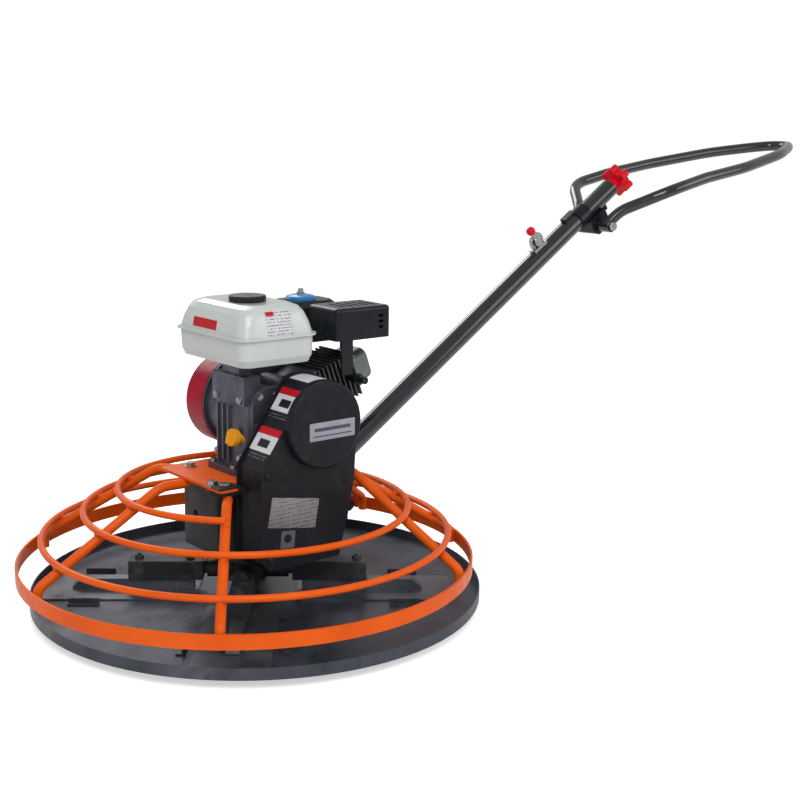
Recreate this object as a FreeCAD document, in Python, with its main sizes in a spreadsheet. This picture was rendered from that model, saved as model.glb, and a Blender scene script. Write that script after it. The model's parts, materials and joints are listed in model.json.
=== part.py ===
import FreeCAD, Part
import math
import os
import re

import Sketcher
from FreeCAD import Placement, Rotation, Vector

# Walk-behind power trowel with a float pan, in millimetres.
# Origin: on the floor under the rotor shaft. +X to the operator's handle, +Z up, belt drive on -Y.

DIMENSIONS = {
    # float pan and rotor
    "pan_radius": 475, "pan_plate": 4, "pan_rim": 24, "pan_rim_wall": 3,
    "pan_shift_x": 21, "pan_shift_y": -7,
    "blade_inner": 105, "blade_outer": 435, "blade_width": 150, "blade_plate": 3, "blade_gap": 0.4,
    "arm_axis_z": 51, "arm_width": 44, "arm_inner": 95, "arm_outer": 252, "arm_pivot_radius": 12,
    "first_arm_angle": 52, "shaft_radius": 17.5, "running_gap": 0.05,
    # finger guard over the rotor
    "band_radius": 479, "band_wall": 5, "band_low": 63, "band_high": 92,
    "ring_tube": 7, "spoke_tube": 10, "spoke_slope": 32,
    "ring_outer": 425, "ring_middle": 339, "ring_inner": 268,
    # gearbox and deck
    "gear_low": 118, "gear_high": 250, "gear_half_width": 62, "gear_front": -120, "gear_rear": 95,
    "gear_wall": 10, "worm_x": 60, "worm_z": 190, "worm_root": 10.5, "worm_tip": 17.2,
    "wheel_teeth": 24, "wheel_root": 42, "wheel_tip": 48.4, "wheel_pitch_radius": 46,
    "deck_low": 270, "deck_plate": 6, "deck_front": -150, "deck_rear": 178,
    "deck_left": -132, "deck_right": 102,
    # belt drive
    "crank_x": 64, "crank_z": 390, "belt_y": -122, "belt_width": 12, "belt_thick": 8,
    "drum_groove": 40, "pulley_groove": 54, "flange_height": 10,
    "cover_back": -98, "cover_front": -176, "cover_wall": 2.5, "cover_top_radius": 91, "cover_slant": 75,
    "cap_radius": 89, "cap_depth": 18,
    # engine
    "cylinder_tilt": 20, "tank_low": 508, "tank_seam": 565, "tank_top": 627,
    "tank_x": 5, "tank_y": 7, "tank_length": 266, "tank_width": 194,
    # handle
    "pole_start_x": 120, "pole_start_z": 178.9, "pole_tilt": 33.6, "pole_length": 1183,
    "pole_radius": 23, "pole_wall": 3, "loop_tube": 14, "knob_radius": 28,
}

doc = FreeCAD.newDocument("PowerTrowel")
sheet = doc.addObject("Spreadsheet::Sheet", "Dimensions")
for row, (alias, value) in enumerate(DIMENSIONS.items(), start=1):
    sheet.set("A%d" % row, alias)
    sheet.set("B%d" % row, str(value))
    sheet.setAlias("B%d" % row, alias)
doc.recompute()

parts = []


def size(alias):
    return float(sheet.get(alias))


def formula(text):
    return re.sub(r"[a-z_]{3,}", lambda word: "Dimensions." + word.group(0), text)


def bind(item, prop, value):
    if isinstance(value, str):
        item.setExpression(prop, formula(value))
    else:
        setattr(item, prop, value)


def keep(item, label):
    item.Label = label
    parts.append(item)
    return item


def turned(direction):
    return Rotation(Vector(0, 0, 1), Vector(*direction))


def box(name, lengths, corner):
    item = doc.addObject("Part::Box", name)
    for prop, value in zip(("Length", "Width", "Height"), lengths):
        bind(item, prop, value)
    item.Placement = Placement(Vector(*corner), Rotation())
    return item


def cylinder(name, radius, height, base, direction=(0, 0, 1)):
    item = doc.addObject("Part::Cylinder", name)
    bind(item, "Radius", radius)
    bind(item, "Height", height)
    item.Placement = Placement(Vector(*base), turned(direction))
    return item


def torus(name, ring, tube, height):
    item = doc.addObject("Part::Torus", name)
    bind(item, "Radius1", ring)
    bind(item, "Radius2", tube)
    item.Placement = Placement(Vector(0, 0, height), Rotation())
    return item


def fuse(name, *items):
    item = doc.addObject("Part::MultiFuse", name)
    item.Shapes = list(items)
    return item


def group(name, *items):
    item = doc.addObject("Part::Compound", name)
    item.Links = list(items)
    return item


def cut(name, base, *tools):
    item = doc.addObject("Part::Cut", name)
    item.Base = base
    item.Tool = tools[0] if len(tools) == 1 else fuse(name + "Tools", *tools)
    return item


def feature(name, shape, placement=None):
    item = doc.addObject("Part::Feature", name)
    item.Shape = shape
    if placement is not None:
        item.Placement = placement
    return item


# ---------------------------------------------------------------- sketches and solids by formula

def new_body(name):
    return doc.addObject("PartDesign::Body", name)


def origin_item(body, role):
    return [item for item in body.Origin.OriginFeatures if item.Role == role][0]


def new_sketch(body, name, role="XY_Plane", height=0.0):
    sketch = body.newObject("Sketcher::SketchObject", name)
    sketch.AttachmentSupport = [(origin_item(body, role), "")]
    sketch.MapMode = "FlatFace"
    sketch.AttachmentOffset = Placement(Vector(0, 0, height), Rotation())
    return sketch


def sketch_circle(sketch, centre, radius, radius_formula=None):
    index = sketch.addGeometry(Part.Circle(Vector(centre[0], centre[1], 0), Vector(0, 0, 1), radius))
    constraint = sketch.addConstraint(Sketcher.Constraint("Radius", index, radius))
    if radius_formula:
        label = "radius%d" % index
        sketch.renameConstraint(constraint, label)
        sketch.setExpression("Constraints." + label, formula(radius_formula))
    return index


def sketch_rectangle(sketch, low, high, width_formula=None, height_formula=None):
    corners = [(low[0], low[1]), (high[0], low[1]), (high[0], high[1]), (low[0], high[1])]
    first = sketch.GeometryCount
    for start, end in zip(corners, corners[1:] + corners[:1]):
        sketch.addGeometry(Part.LineSegment(Vector(start[0], start[1], 0), Vector(end[0], end[1], 0)))
    for step in range(4):
        following = first + (step + 1) % 4
        sketch.addConstraint(Sketcher.Constraint("Coincident", first + step, 2, following, 1))
    for step, kind in enumerate(("Horizontal", "Vertical", "Horizontal", "Vertical")):
        sketch.addConstraint(Sketcher.Constraint(kind, first + step))
    sketch.addConstraint(Sketcher.Constraint("DistanceX", first, 1, low[0]))
    sketch.addConstraint(Sketcher.Constraint("DistanceY", first, 1, low[1]))
    spans = ((width_formula, "DistanceX", 0, high[0] - low[0]),
             (height_formula, "DistanceY", 1, high[1] - low[1]))
    for text, kind, side, span in spans:
        constraint = sketch.addConstraint(Sketcher.Constraint(kind, first + side, 1, first + side, 2, span))
        if text:
            label = kind + str(first)
            sketch.renameConstraint(constraint, label)
            sketch.setExpression("Constraints." + label, formula(text))


def pad(body, sketch, name, length, reverse=False):
    item = body.newObject("PartDesign::Pad", name)
    item.Profile = sketch
    bind(item, "Length", length)
    item.Reversed = reverse
    body.Tip = item
    return item


def polar(body, original, name, count, role="Z_Axis"):
    item = body.newObject("PartDesign::PolarPattern", name)
    item.Originals = [original]
    item.Axis = (origin_item(body, role), [""])
    item.Angle = 360
    item.Occurrences = count
    body.Tip = item
    return item


def linear(body, original, name, length, count, role="Z_Axis"):
    item = body.newObject("PartDesign::LinearPattern", name)
    item.Originals = [original]
    item.Direction = (origin_item(body, role), [""])
    item.Length = length
    item.Occurrences = count
    body.Tip = item
    return item


def bent_path(points, bend):
    """A wire of straight runs joined by tangent arcs; bend is one radius or one per corner."""
    corners = [Vector(*point) for point in points]
    bends = bend if isinstance(bend, (list, tuple)) else [bend] * (len(corners) - 2)
    edges = []
    start = corners[0]
    for before, corner, after, radius in zip(corners, corners[1:], corners[2:], bends):
        inward = (before - corner).normalize()
        outward = (after - corner).normalize()
        half = inward.getAngle(outward) / 2
        reach = radius / math.tan(half)
        middle = (inward + outward).normalize()
        centre = corner + middle * (radius / math.sin(half))
        first = corner + inward * reach
        last = corner + outward * reach
        top = centre - middle * radius
        if (first - start).Length > 1e-6:
            edges.append(Part.LineSegment(start, first).toShape())
        edges.append(Part.Arc(first, top, last).toShape())
        start = last
    edges.append(Part.LineSegment(start, corners[-1]).toShape())
    return Part.Wire(edges)


def swept(path, radius):
    """A round bar along a path."""
    start = path.Edges[0].valueAt(path.Edges[0].FirstParameter)
    heading = path.Edges[0].tangentAt(path.Edges[0].FirstParameter)
    return path.makePipeShell([Part.Wire(Part.Circle(start, heading, radius).toShape())], True, False)


def rounded_rectangle(low, high, radius, height):
    """A closed wire in the plane z = height with four round corners."""
    x0, y0 = low
    x1, y1 = high
    slant = radius * (1 - math.sqrt(0.5))
    corners = (((x1, y0), (-1, 1)), ((x1, y1), (-1, -1)), ((x0, y1), (1, -1)), ((x0, y0), (1, 1)))
    arcs = []
    for step, ((cx, cy), (sx, sy)) in enumerate(corners):
        along_x = Vector(cx + sx * radius, cy, height)
        along_y = Vector(cx, cy + sy * radius, height)
        middle = Vector(cx + sx * slant, cy + sy * slant, height)
        arcs.append((along_x, middle, along_y) if step % 2 == 0 else (along_y, middle, along_x))
    edges = []
    for arc, following in zip(arcs, arcs[1:] + arcs[:1]):
        edges.append(Part.Arc(*arc).toShape())
        edges.append(Part.LineSegment(arc[2], following[0]).toShape())
    return Part.Wire(edges)


def rounded_block(low, high, radius):
    face = Part.Face(rounded_rectangle(low[:2], high[:2], radius, low[2]))
    return face.extrude(Vector(0, 0, high[2] - low[2]))


def loft(*wires):
    return Part.makeLoft(list(wires), True, True)


def shaft(radius, start, end):
    """A plain round bar between two points."""
    line = Vector(*end) - Vector(*start)
    return Part.makeCylinder(radius, line.Length, Vector(*start), line)


def hexagon_head(width, height, base, direction=(0, 0, 1)):
    """A hexagon bolt head or nut, width across flats."""
    radius = width / math.sqrt(3)
    points = [Vector(*polar_point(radius, 60 * step, 0)) for step in range(7)]
    head = Part.Face(Part.makePolygon(points)).extrude(Vector(0, 0, height))
    head.Placement = Placement(Vector(*base), turned(direction))
    return head


def joined(*shapes):
    result = shapes[0]
    for shape in shapes[1:]:
        result = result.fuse(shape)
    return result.removeSplitter()


def polar_point(radius, degrees, height):
    angle = math.radians(degrees)
    return (radius * math.cos(angle), radius * math.sin(angle), height)


# ---------------------------------------------------------------- float pan and rotor

ARM_NAMES = ("rear_right", "front_right", "front_left", "rear_left")
ARM_STEP = 90
ARM_TOP = 72
ARM_LOW = 30
BAR_WIDTH = 26
BAR_OUTER = 372
FINGER_REACH = 32
FINGER_RADIUS = 66
PLATE_LOW = 90


def arm_angle(index):
    return size("first_arm_angle") + ARM_STEP * index


def arm_placement(index):
    return Placement(Vector(0, 0, 0), Rotation(Vector(0, 0, 1), arm_angle(index)))


def make_pan():
    disc = cylinder("PanDisc", "pan_radius", "pan_rim", (0, 0, 0))
    hollow = cylinder("PanHollow", "pan_radius - pan_rim_wall", "pan_rim", (0, 0, size("pan_plate")))
    dish = cut("PanDish", disc, hollow)
    clips = []
    for index in range(4):
        for side in (-1, 1):
            clips.append(pan_clip(index, side, 300))
    shift = Vector(size("pan_shift_x"), size("pan_shift_y"), 0)
    dish.Placement = Placement(shift, Rotation())
    pan = fuse("FloatPanBody", dish, feature("PanClips", Part.makeCompound(clips)))
    keep(pan, "float_pan")


def pan_clip(index, side, radius):
    """An angle clip welded to the pan beside a blade."""
    gap = 16
    wall = 4
    edge = size("blade_width") / 2 + gap
    low = size("pan_plate") - 0.5
    upright = Part.makeBox(64, wall, 13, Vector(radius, edge, low))
    foot = Part.makeBox(64, 16, wall, Vector(radius, edge, low))
    clip = upright.fuse(foot).removeSplitter()
    if side < 0:
        clip = clip.mirror(Vector(0, 0, 0), Vector(0, 1, 0))
    clip.Placement = arm_placement(index).multiply(clip.Placement)
    return clip


def make_blade(index):
    low = size("pan_plate") + size("blade_gap")
    top = low + size("blade_plate")
    half = size("blade_width") / 2
    plate = rounded_block((size("blade_inner"), -half, low), (size("blade_outer"), half, top), 14)
    bar = Part.makeBox(BAR_OUTER - 115, BAR_WIDTH, ARM_LOW - top, Vector(115, -BAR_WIDTH / 2, top))
    end_slope = Part.makeBox(60, BAR_WIDTH, 40, Vector(0, -BAR_WIDTH / 2, 0))
    end_slope.Placement = Placement(Vector(BAR_OUTER - 22, 0, ARM_LOW), Rotation(Vector(0, 1, 0), 40))
    bar = bar.cut(end_slope)
    spots = [(radius, y) for radius in (150, 250, 350) for y in (-22, 22)]
    screws = [Part.makeCylinder(6, 3, Vector(radius, y, top)) for radius, y in spots]
    blade = feature("Blade%d" % index, joined(plate, bar, *screws), arm_placement(index))
    keep(blade, "blade_" + ARM_NAMES[index])


def make_arm(index):
    axis = size("arm_axis_z")
    half = size("arm_width") / 2
    block = Part.makeBox(size("arm_outer") - size("arm_inner"), 2 * half, ARM_TOP - ARM_LOW,
                         Vector(size("arm_inner"), -half, ARM_LOW))
    block = block.makeFillet(2.5, [edge for edge in block.Edges if edge.Length > 100])
    pivot = shaft(size("arm_pivot_radius"), (44, 0, axis), (100, 0, axis))
    heads = [hexagon_head(17, 8, (radius, 0, ARM_TOP)) for radius in (124, 231)]
    heads += [Part.makeCylinder(4, 4, Vector(radius, 0, ARM_TOP + 8)) for radius in (124, 231)]
    finger = Part.makeBox(16, FINGER_REACH + 8, 9, Vector(88, -FINGER_REACH - 8, 58))
    knuckle = Part.makeBox(12, 24, 20, Vector(88, -12, 50))
    inner = FINGER_RADIUS - 6
    reach_back = Part.makeBox(104 - inner, 12, 9, Vector(inner, -FINGER_REACH - 6, 58))
    tip = Part.makeCylinder(5, PLATE_LOW - 0.5 - 66, Vector(FINGER_RADIUS, -FINGER_REACH, 66))
    solid = joined(block, pivot, finger, knuckle, reach_back, tip, *heads)
    keep(feature("Arm%d" % index, solid, arm_placement(index)), "arm_" + ARM_NAMES[index])


def make_spider():
    """The hub on the rotor shaft, with a bored socket for each arm."""
    axis = size("arm_axis_z")
    bore = size("arm_pivot_radius") + size("running_gap")
    boss = shaft(38, (0, 0, 30), (0, 0, 74))
    sockets = []
    bores = []
    for index in range(4):
        socket_end = polar_point(86, arm_angle(index), axis)
        sockets.append(shaft(19, (0, 0, axis), socket_end))
        turn = arm_angle(index)
        bores.append(shaft(bore, polar_point(43, turn, axis), polar_point(90, turn, axis)))
    hub = joined(boss, *sockets)
    hub = hub.cut(Part.makeCompound(bores)).cut(shaft(size("shaft_radius"), (0, 0, 40), (0, 0, 80)))
    keep(feature("Spider", hub), "spider_hub")


def make_rotor_shaft():
    bar = cylinder("RotorBar", "shaft_radius", "gear_high - 40 + 6", (0, 0, 40))
    keep(bar, "rotor_shaft")
    body = new_body("WormWheelBody")
    sketch = new_sketch(body, "WheelSketch", height=size("worm_z") - 7)
    sketch_circle(sketch, (0, 0), 42, "wheel_root")
    sketch_circle(sketch, (0, 0), 17.5, "shaft_radius")
    pad(body, sketch, "WheelPad", 14)
    doc.recompute()
    tooth_sketch = new_sketch(body, "ToothSketch", height=size("worm_z") - 6)
    sketch_rectangle(tooth_sketch, (38, -2), (48.4, 2), "wheel_tip - 38")
    tooth = pad(body, tooth_sketch, "ToothPad", 12)
    polar(body, tooth, "Teeth", int(size("wheel_teeth")))
    half_tooth = 180 / size("wheel_teeth")
    body.Placement = Placement(Vector(0, 0, 0), Rotation(Vector(0, 0, 1), half_tooth))
    keep(body, "worm_wheel")


def make_pressure_plate():
    """The plate that slides down the rotor shaft and presses the arms' fingers."""
    plate = cylinder("PressDisc", 80, 8, (0, 0, PLATE_LOW))
    collar = cylinder("PressCollar", 30, 14, (0, 0, PLATE_LOW))
    bore = cylinder("PressBore", "shaft_radius + running_gap", 30, (0, 0, PLATE_LOW - 5))
    keep(cut("PressurePlate", fuse("PressBody", plate, collar), bore), "pressure_plate")


# ---------------------------------------------------------------- gearbox

def make_gearbox():
    low, high = size("gear_low"), size("gear_high")
    front, rear = size("gear_front"), size("gear_rear")
    half, wall = size("gear_half_width"), size("gear_wall")
    outer = box("GearOuter", ("gear_rear - gear_front", "2 * gear_half_width", "gear_high - gear_low"),
                (front, -half, low))
    rounded = doc.addObject("Part::Fillet", "GearRounded")
    rounded.Base = outer
    doc.recompute()
    uprights = [number for number, edge in enumerate(outer.Shape.Edges, start=1)
                if abs(edge.tangentAt(edge.FirstParameter).z) > 0.9]
    rounded.Edges = [(number, 9.0, 9.0) for number in uprights]
    cavity_lengths = ("gear_rear - gear_front - 2 * gear_wall", "2 * gear_half_width - 2 * gear_wall",
                      "gear_high - gear_low")
    cavity = box("GearCavity", cavity_lengths, (front + wall, -half + wall, low + wall))
    main_bore = cylinder("MainBore", 31, 20, (0, 0, low - 5))
    input_end = (size("worm_x"), -half - 5, size("worm_z"))
    input_bore = cylinder("InputBore", 21, 2 * half + 10, input_end, (0, 1, 0))
    plug = cylinder("PlugSeat", 9, 12, (front - 1, 12, 190), (1, 0, 0))
    casing = cut("GearCasing", rounded, cavity, main_bore, input_bore, plug)
    lug_right = box("LugRight", (26, 10, 30), (rear - 2, 26, low))
    lug_left = box("LugLeft", (26, 10, 30), (rear - 2, -36, low))
    pin_hole = cylinder("LugHole", 5, 90, (YOKE_PIVOT[0], -45, YOKE_PIVOT[1]), (0, 1, 0))
    with_lugs = fuse("GearWithLugs", casing, lug_right, lug_left)
    keep(cut("GearboxHousing", with_lugs, pin_hole), "gearbox_housing")
    lid = box("LidPlate", ("gear_rear - gear_front", "2 * gear_half_width", 12), (front, -half, high))
    top_bore = cylinder("LidBore", 26, 8, (0, 0, high))
    keep(cut("GearboxLid", lid, top_bore), "gearbox_lid")


def bearing(name, bore, outer, width, base, direction=(0, 0, 1)):
    ring = cylinder(name, outer, width, base, direction)
    hole = cylinder(name + "Hole", bore, width, base, direction)
    return cut(name + "Ring", ring, hole)


def make_bearings():
    low, high, half = size("gear_low"), size("gear_high"), size("gear_half_width")
    gap = size("running_gap")
    rotor_bore = size("shaft_radius") + gap
    worm_bore = WORM_SHAFT_RADIUS + gap
    worm_x, worm_z = size("worm_x"), size("worm_z")
    rings = (
        bearing("LowerBearing", rotor_bore, 31, 10, (0, 0, low)),
        bearing("UpperBearing", rotor_bore, 26, 8, (0, 0, high)),
        bearing("WormBearingLeft", worm_bore, 21, 10, (worm_x, -half, worm_z), (0, 1, 0)),
        bearing("WormBearingRight", worm_bore, 21, 10, (worm_x, half - 10, worm_z), (0, 1, 0)),
    )
    keep(group("Bearings", *rings), "gearbox_bearings")


WORM_SHAFT_RADIUS = 10
SPOKE_ANGLES = (176, 130, 20, -20)
TAB_SPOKE_ANGLE = -129.5
TAB_SPOKE_END = (-126, -122)
INNER_RING_END = -132.2
TAB_PLATE = 8
SIDE_SPOKES = (56, -56)


def worm_thread(turns):
    """One-start right-handed thread round local Z, its start on local +X."""
    lead = 2 * math.pi * size("wheel_pitch_radius") / size("wheel_teeth")
    root, tip = size("worm_root"), size("worm_tip")
    helix = Part.makeHelix(lead, turns * lead, root)
    corners = [Vector(root - 0.6, 0, -2.5), Vector(tip, 0, -1.3),
               Vector(tip, 0, 1.3), Vector(root - 0.6, 0, 2.5)]
    profile = Part.makePolygon(corners + corners[:1])
    thread = Part.Wire(helix.Edges).makePipeShell([profile], True, True)
    thread.translate(Vector(0, 0, -turns * lead / 2))
    return thread


def make_worm_shaft():
    """Input shaft of the gearbox; its thread faces a gap between two teeth of the wheel."""
    x, z = size("worm_x"), size("worm_z")
    bar = cylinder("WormBar", WORM_SHAFT_RADIUS, 205, (x, -150, z), (0, 1, 0))
    core = cylinder("WormCore", "worm_root", 76, (x, -38, z), (0, 1, 0))
    thread = feature("WormThread", worm_thread(5), Placement(Vector(x, 0, z), turned((0, 1, 0))))
    keep(fuse("WormShaft", bar, core, thread), "worm_shaft")


# ---------------------------------------------------------------- belt drive and its guard

def grooved_wheel(groove, bore, centre, width=19.0):
    """A pulley with one belt groove, lying along Y."""
    flange = groove + size("flange_height")
    start = (centre[0], size("belt_y") - width / 2, centre[1])
    end = (centre[0], size("belt_y") + width / 2, centre[1])
    side = (size("belt_width") + 1) / 2
    ring_start = (centre[0], size("belt_y") - side, centre[1])
    ring_end = (centre[0], size("belt_y") + side, centre[1])
    wheel = shaft(flange, start, end)
    ring = shaft(flange + 1, ring_start, ring_end).cut(shaft(groove, ring_start, ring_end))
    return wheel.cut(ring).cut(shaft(bore, start, end))


def make_pulleys():
    x, z = size("worm_x"), size("worm_z")
    pulley = grooved_wheel(size("pulley_groove"), WORM_SHAFT_RADIUS, (x, z))
    hub = shaft(24, (x, size("belt_y") - 18, z), (x, size("belt_y") - 9.5, z))
    hub = hub.cut(shaft(WORM_SHAFT_RADIUS, (x, size("belt_y") - 19, z), (x, size("belt_y"), z)))
    keep(feature("GearboxPulley", joined(pulley, hub)), "gearbox_pulley")
    cx, cz = size("crank_x"), size("crank_z")
    rim = grooved_wheel(size("drum_groove"), CRANK_RADIUS + size("running_gap"), (cx, cz))
    cup = shaft(48, (cx, -168, cz), (cx, size("belt_y") - 9.5, cz))
    cup = cup.cut(shaft(44, (cx, -169, cz), (cx, size("belt_y") - 12.5, cz)))
    cup = cup.cut(shaft(CRANK_RADIUS + size("running_gap"), (cx, -170, cz), (cx, -100, cz)))
    keep(feature("ClutchDrum", joined(rim, cup)), "clutch_drum")


def belt_loop(extra, y0, y1):
    """The filled outline of the belt path, extra outside the pulleys' grooves."""
    top = Vector(size("crank_x"), y0, size("crank_z"))
    bottom = Vector(size("worm_x"), y0, size("worm_z"))
    top_radius = size("drum_groove") + 0.5 + extra
    bottom_radius = size("pulley_groove") + 0.5 + extra
    lean = math.asin((bottom_radius - top_radius) / (top - bottom).Length)
    upward = (top - bottom).normalize()
    across = Vector(upward.z, 0, -upward.x)
    sides = []
    for side in (1, -1):
        normal = across * (side * math.cos(lean)) + upward * math.sin(lean)
        sides.append((top + normal * top_radius, bottom + normal * bottom_radius))
    crown = top + upward * top_radius
    sole = bottom - upward * bottom_radius
    edges = [Part.Arc(sides[1][0], crown, sides[0][0]).toShape(),
             Part.LineSegment(*sides[0]).toShape(),
             Part.Arc(sides[0][1], sole, sides[1][1]).toShape(),
             Part.LineSegment(sides[1][1], sides[1][0]).toShape()]
    return Part.Face(Part.Wire(edges)).extrude(Vector(0, y1 - y0, 0))


def make_belt():
    y0 = size("belt_y") - size("belt_width") / 2
    y1 = size("belt_y") + size("belt_width") / 2
    loop = belt_loop(size("belt_thick"), y0, y1).cut(belt_loop(0, y0 - 1, y1 + 1))
    keep(feature("DriveBelt", loop), "drive_belt")


def guard_outline(inset, y):
    """Outline of the belt guard: round over the engine pulley, one side slanting down to the gearbox."""
    cx, cz = size("crank_x"), size("crank_z")
    radius = size("cover_top_radius") - inset
    slant = size("cover_slant") - inset
    normal = math.radians(145)
    start = normal - math.acos(slant / radius)
    end = math.radians(-5)
    side = -82 + inset
    arc = [Vector(cx + radius * math.cos(angle), y, cz + radius * math.sin(angle))
           for angle in (start, (start + end) / 2, end)]
    knee = Vector(side, y, cz + (slant - (side - cx) * math.cos(normal)) / math.sin(normal))
    lower = [Vector(148 - inset, y, 258), Vector(110 - inset * 1.3, y, 104 + inset),
             Vector(-62 + inset * 0.6, y, 104 + inset), Vector(side, y, 124 + inset * 0.6), knee]
    corners = [arc[2]] + lower + [arc[0]]
    edges = [Part.Arc(*arc).toShape()]
    edges += [Part.LineSegment(one, two).toShape() for one, two in zip(corners, corners[1:])]
    return Part.Face(Part.Wire(edges))


def make_belt_guard():
    back, front, wall = size("cover_back"), size("cover_front"), size("cover_wall")
    cx, cz = size("crank_x"), size("crank_z")
    solid = guard_outline(0, front).extrude(Vector(0, back - front, 0))
    inner = guard_outline(wall, front + wall).extrude(Vector(0, back - front, 0))
    window = shaft(size("cover_slant") - 12, (cx, front - 1, cz), (cx, front + wall + 1, cz))
    cover = solid.cut(inner).cut(window)
    keep(feature("BeltGuardCover", cover), "belt_guard_cover")
    plate = guard_outline(-6, back).extrude(Vector(0, 3, 0))
    wx, wz = size("worm_x"), size("worm_z")
    openings = [shaft(34, (cx, back - 1, cz), (cx, back + 5, cz)),
                shaft(26, (wx, back - 1, wz), (wx, back + 5, wz))]
    tab = Part.makeBox(68, 34, TAB_PLATE, Vector(-152, -130, size("deck_low") - TAB_PLATE))
    back_plate = joined(plate, tab).cut(Part.makeCompound(openings))
    keep(feature("BeltGuardBack", back_plate), "belt_guard_back")
    body = new_body("GuardCapBody")
    sketch = new_sketch(body, "CapSketch")
    sketch_circle(sketch, (0, 0), 89, "cap_radius")
    disc = pad(body, sketch, "CapPad", "cap_depth")
    doc.recompute()
    hollow = new_sketch(body, "CapHollowSketch")
    sketch_circle(hollow, (0, 0), 86.5, "cap_radius - cover_wall")
    pocket = body.newObject("PartDesign::Pocket", "CapPocket")
    pocket.Profile = hollow
    bind(pocket, "Length", "cap_depth - cover_wall")
    pocket.Reversed = True
    body.Tip = pocket
    doc.recompute()
    rims = [number for number, edge in enumerate(pocket.Shape.Edges, start=1)
            if edge.BoundBox.ZMin > size("cap_depth") - 1e-6]
    fillet = body.newObject("PartDesign::Fillet", "CapRound")
    fillet.Base = (pocket, ["Edge%d" % number for number in rims])
    fillet.Radius = 6
    body.Tip = fillet
    body.Placement = Placement(Vector(cx, front, cz), turned((0, -1, 0)))
    keep(body, "belt_guard_cap")


# ---------------------------------------------------------------- deck and finger guard

def make_deck():
    body = new_body("DeckBody")
    sketch = new_sketch(body, "DeckSketch", height=size("deck_low"))
    low = (size("deck_front"), size("deck_left"))
    high = (size("deck_rear"), size("deck_right"))
    sketch_rectangle(sketch, low, high, "deck_rear - deck_front", "deck_right - deck_left")
    pad(body, sketch, "DeckPad", "deck_plate")
    doc.recompute()
    notch_sketch = new_sketch(body, "NotchSketch", height=size("deck_low") + size("deck_plate"))
    sketch_rectangle(notch_sketch, (-102, -200), (220, size("cover_back") + 3.5))
    notch = body.newObject("PartDesign::Pocket", "BeltGuardNotch")
    notch.Profile = notch_sketch
    notch.Length = 20
    body.Tip = notch
    doc.recompute()
    corners = [number for number, edge in enumerate(notch.Shape.Edges, start=1)
               if abs(edge.tangentAt(edge.FirstParameter).z) > 0.9]
    fillet = body.newObject("PartDesign::Fillet", "DeckCorners")
    fillet.Base = (notch, ["Edge%d" % number for number in corners])
    fillet.Radius = 10
    body.Tip = fillet
    keep(body, "deck_plate")


def make_guard_band():
    height = "band_high - band_low"
    outer = cylinder("BandOuter", "band_radius", height, (0, 0, size("band_low")))
    inner = cylinder("BandInner", "band_radius - band_wall", height, (0, 0, size("band_low")))
    keep(cut("GuardBand", outer, inner), "guard_band")


def spoke_line(radius):
    """Height of a spoke's centre line at a distance from the rotor shaft."""
    foot = size("band_radius") - size("band_wall") - size("spoke_tube")
    return 95 + (foot - radius) * math.tan(math.radians(size("spoke_slope")))


def ring_seat(radius):
    """Centre of a ring that lies on the spokes: its radius moved out and its height moved up."""
    slope = math.radians(size("spoke_slope"))
    reach = size("spoke_tube") + size("ring_tube") - 0.05
    centre = radius - reach * math.sin(slope)
    return spoke_line(centre) + reach * math.cos(slope)


def make_guard_rings():
    rings = [torus("Ring_" + name, "ring_" + name, "ring_tube", ring_seat(size("ring_" + name)))
             for name in ("outer", "middle", "inner")]
    rings[2].Angle3 = 360 - (SIDE_SPOKES[0] - INNER_RING_END)
    turn = Placement(Vector(), Rotation(Vector(0, 0, 1), SIDE_SPOKES[0]))
    rings[2].Placement = rings[2].Placement.multiply(turn)
    keep(group("GuardRings", *rings), "guard_rings")


def spoke_foot(angle):
    foot = size("band_radius") - size("band_wall") - size("spoke_tube")
    return [polar_point(foot, angle, size("band_low") + 2), polar_point(foot, angle, spoke_line(foot))]


def knee_radius(level):
    foot = size("band_radius") - size("band_wall") - size("spoke_tube")
    return foot - (level - 95) / math.tan(math.radians(size("spoke_slope")))


def radial_spoke(angle, inner, level):
    """Straight spoke: up inside the band, sloping over the pan, then level under the deck."""
    points = spoke_foot(angle)
    points += [polar_point(knee_radius(level), angle, level), polar_point(inner, angle, level)]
    return swept(bent_path(points, (26, 60)), size("spoke_tube"))


def tab_spoke(level):
    """The front left spoke runs a little off the radius, to the tab of the belt guard."""
    points = spoke_foot(TAB_SPOKE_ANGLE)
    foot = Vector(points[1][0], points[1][1], 0)
    run = Vector(*TAB_SPOKE_END, 0) - foot
    half = foot.dot(run) / run.dot(run)
    spare = (foot.dot(foot) - knee_radius(level) ** 2) / run.dot(run)
    knee = foot + run * (-half - math.sqrt(half * half - spare))
    points += [(knee.x, knee.y, level), (*TAB_SPOKE_END, level)]
    return swept(bent_path(points, (26, 40)), size("spoke_tube"))


def make_spokes():
    level = size("deck_low") - size("spoke_tube")
    shapes = [radial_spoke(angle, 138, level) for angle in SPOKE_ANGLES]
    shapes.append(tab_spoke(level - TAB_PLATE))
    for angle in SIDE_SPOKES:
        side = math.copysign(1, angle)
        points = spoke_foot(angle) + [(188, side * 118, level), (158, side * 60, level)]
        shapes.append(swept(bent_path(points, (26, 40)), size("spoke_tube")))
    keep(feature("GuardSpokes", Part.makeCompound(shapes)), "guard_spokes")


# ---------------------------------------------------------------- engine

CRANK_RADIUS = 10
ENGINE_BOLTS_X = (-60, 131)
ENGINE_BOLTS_Y = (-42, 34)


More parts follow.
